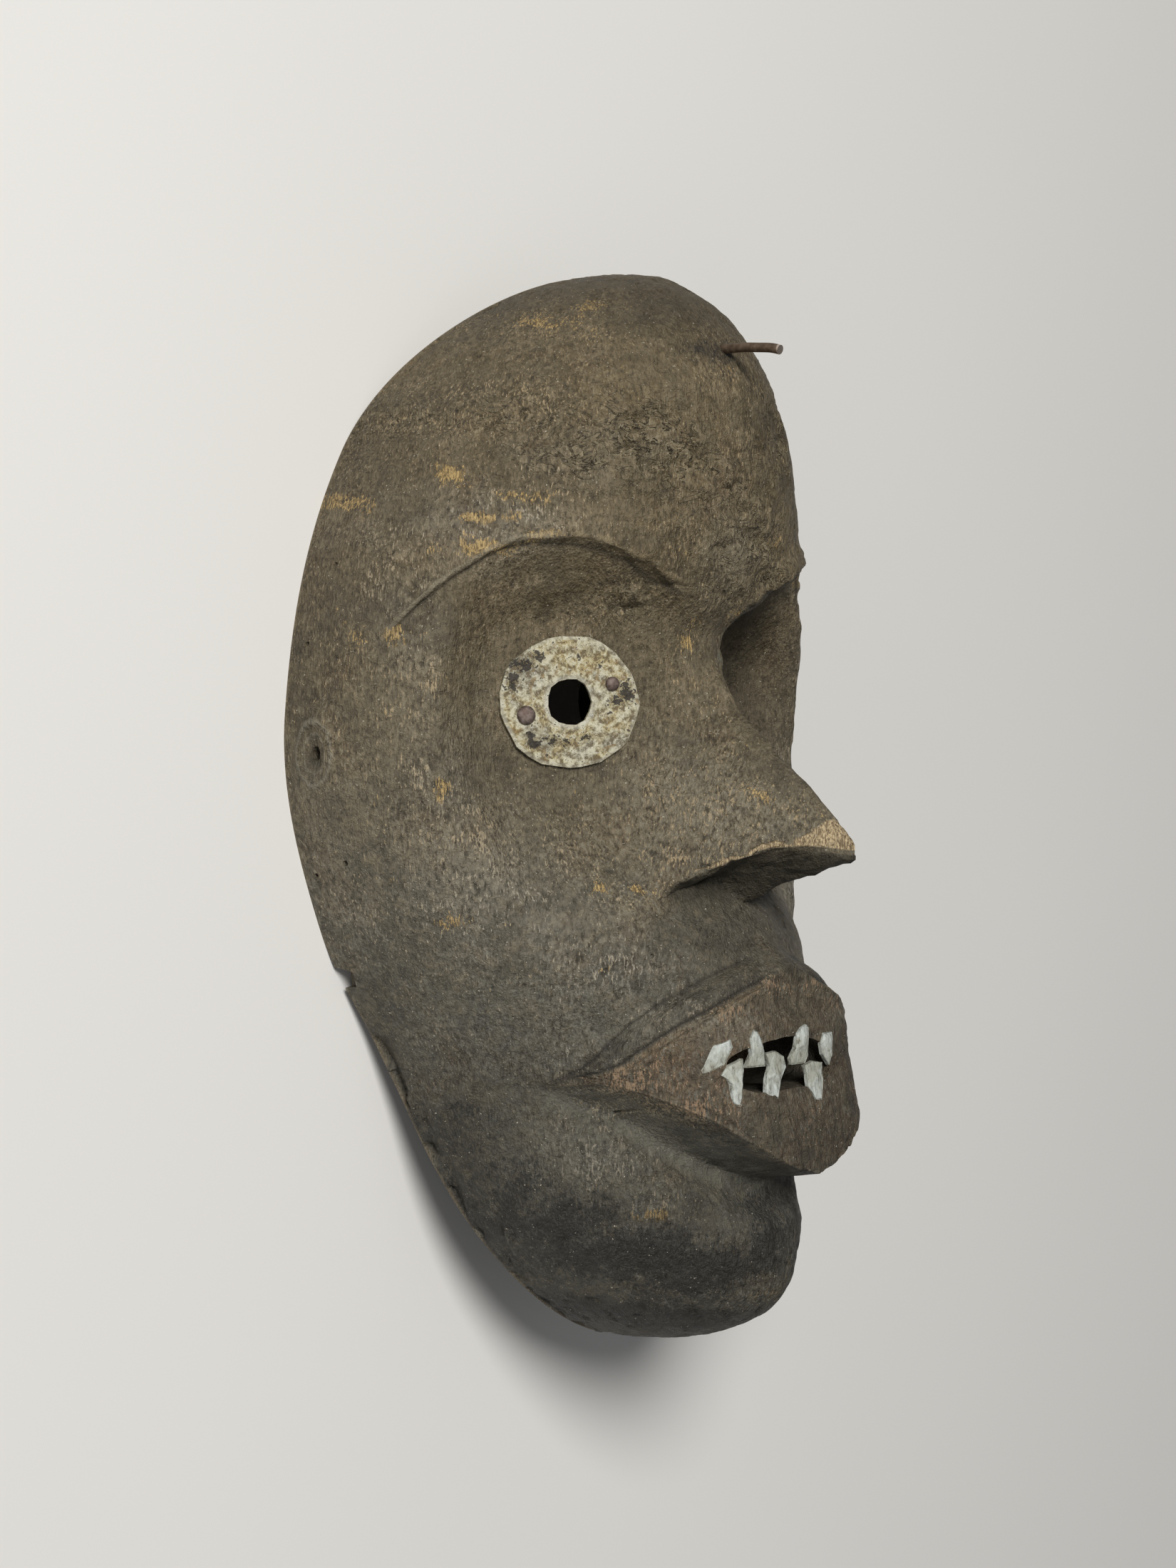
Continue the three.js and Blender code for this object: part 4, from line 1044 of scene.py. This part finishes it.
# Steps of its line: how far out of the wood, and how far down.
sag = [
    (-9, 0), (-2, 0), (SPIKE_OUT * 0.3, 0.2), (SPIKE_OUT * 0.6, 0.7), (SPIKE_OUT * 0.84, 1.2),
    (SPIKE_OUT, 1.9)]
line = bpy.data.curves.new("bent_wire", "CURVE")
line.dimensions = "3D"
path = line.splines.new("POLY")
path.points.add(len(sag) - 1)
for point, (out, drop) in zip(path.points, sag):
    point.co = (SPIKE_X / 1000, (SPIKE_Y - drop) / 1000, (brink_z + out) / 1000, 1)
wire = bpy.data.objects.new("bent_wire", line)
bpy.context.collection.objects.link(wire)


def wire_tree(material):
    ink, given, end = grower("wire", "Radius", "Spacing")
    bent = ink.node(
        "GeometryNodeCurveSplineType", {"spline_type": "CATMULL_ROM"}, {"Curve": given("Geometry")})
    bent = ink.node(
        "GeometryNodeResampleCurve", {"mode": "LENGTH"}, {"Curve": bent, "Length": given("Spacing")})
    ring_of = ink.node("GeometryNodeCurvePrimitiveCircle", {}, {"Resolution": 24, "Radius": given("Radius")})
    sockets = {"Curve": bent, "Profile Curve": ring_of, "Fill Caps": True}
    skin = ink.node("GeometryNodeCurveToMesh", {}, sockets)
    return end(ink.node("GeometryNodeRealizeInstances", {}, {"Geometry": skin}), material)


brown_wire, ink, where, feed = finish("browned_wire", Specular_IOR_Level=0.5)
rust = ink.noise(where, 600, 4, 0.65)
tip = ink.node("SeparateXYZ", {}, {0: where}, out="Z").over((brink_z + SPIKE_OUT - 0.45) / 1000, 0.0003)
dull = ink.tint(rust.over(0.35, 0.3), (0.07, 0.045, 0.028), (0.16, 0.115, 0.08))
feed(
    Base_Color=ink.tint(tip, dull, (0.5, 0.42, 0.35)),
    Roughness=0.4 + rust * 0.35 - tip * 0.2,
    Metallic=0.7 + tip * 0.25,
    Normal=rust.bumps(0.3, 0.0002))
tree, named = wire_tree(brown_wire)
wire = settle(wire, tree, {named["Radius"]: SPIKE_R / 1000, named["Spacing"]: 0.0006})
bm = bmesh.new()
bm.from_mesh(wire.data)
bmesh.ops.remove_doubles(bm, verts=bm.verts, dist=1e-6)
bmesh.ops.recalc_face_normals(bm, faces=bm.faces)
bm.to_mesh(wire.data)
bm.free()
soften(wire, 40)
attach(wire, "root")
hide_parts("bent_nail")

# Table, lamps and camera. A plain pale table top, a large soft lamp high beyond the right temple, a weak one
# low beyond the right jaw, and a view of the right cheek from above and beside the mask.
corners = np.array([(-3, -3, 0), (3, -3, 0), (3, 3, 0), (-3, 3, 0)], float)
table = make_mesh("table", corners, [(0, 1, 2, 3)])
pale_top, ink, where, feed = finish("pale_table", Roughness=0.8)
haze = ink.noise(where, 3.0, 2, 0.5)
feed(Base_Color=ink.tint(haze, (0.66, 0.65, 0.63), (0.7, 0.69, 0.67)))
table.data.materials.append(pale_top)


def lamp(name, where, aim, size, power, colour):
    light = bpy.data.lights.new(name, "AREA")
    light.shape, light.size, light.energy, light.color = "DISK", size, power, colour
    made = bpy.data.objects.new(name, light)
    made.location = where
    made.rotation_mode = "QUATERNION"
    made.rotation_quaternion = (Vector(aim) - Vector(where)).to_track_quat("-Z", "Y")
    bpy.context.collection.objects.link(made)


lamp("window", (-1.0, 0.72, 1.5), (0, 0, 0.04), 0.75, 42.0, (1.0, 0.985, 0.95))
lamp("fill", (-1.0, -0.5, 0.55), (0, 0, 0.04), 0.8, 1.6, (0.97, 0.98, 1.0))
world = bpy.data.worlds.new("room")
bpy.context.scene.world = world
world.use_nodes = True
world.node_tree.nodes["Background"].inputs["Color"].default_value = (0.96, 0.98, 1.0, 1)
world.node_tree.nodes["Background"].inputs["Strength"].default_value = 0.15
bpy.context.scene.view_settings.view_transform = "Standard"

VIEW_ANGLE, VIEW_RANGE = np.radians(50.0), 0.62
AIM = np.array([0.01079, 0.00477, 0.01286])
toward = np.array([-np.sin(VIEW_ANGLE), 0, np.cos(VIEW_ANGLE)])
eye = bpy.data.cameras.new("camera")
eye.sensor_fit, eye.sensor_width, eye.lens = "AUTO", 36.0, 57.9
eye.clip_start, eye.clip_end = 0.01, 20
camera = bpy.data.objects.new("camera", eye)
right = (np.cos(VIEW_ANGLE), 0, np.sin(VIEW_ANGLE))
facing = Matrix((right, (0, 1, 0), toward)).transposed().to_4x4()
camera.matrix_world = Matrix.Translation(AIM + VIEW_RANGE * toward) @ facing
bpy.context.collection.objects.link(camera)
bpy.context.scene.camera = camera
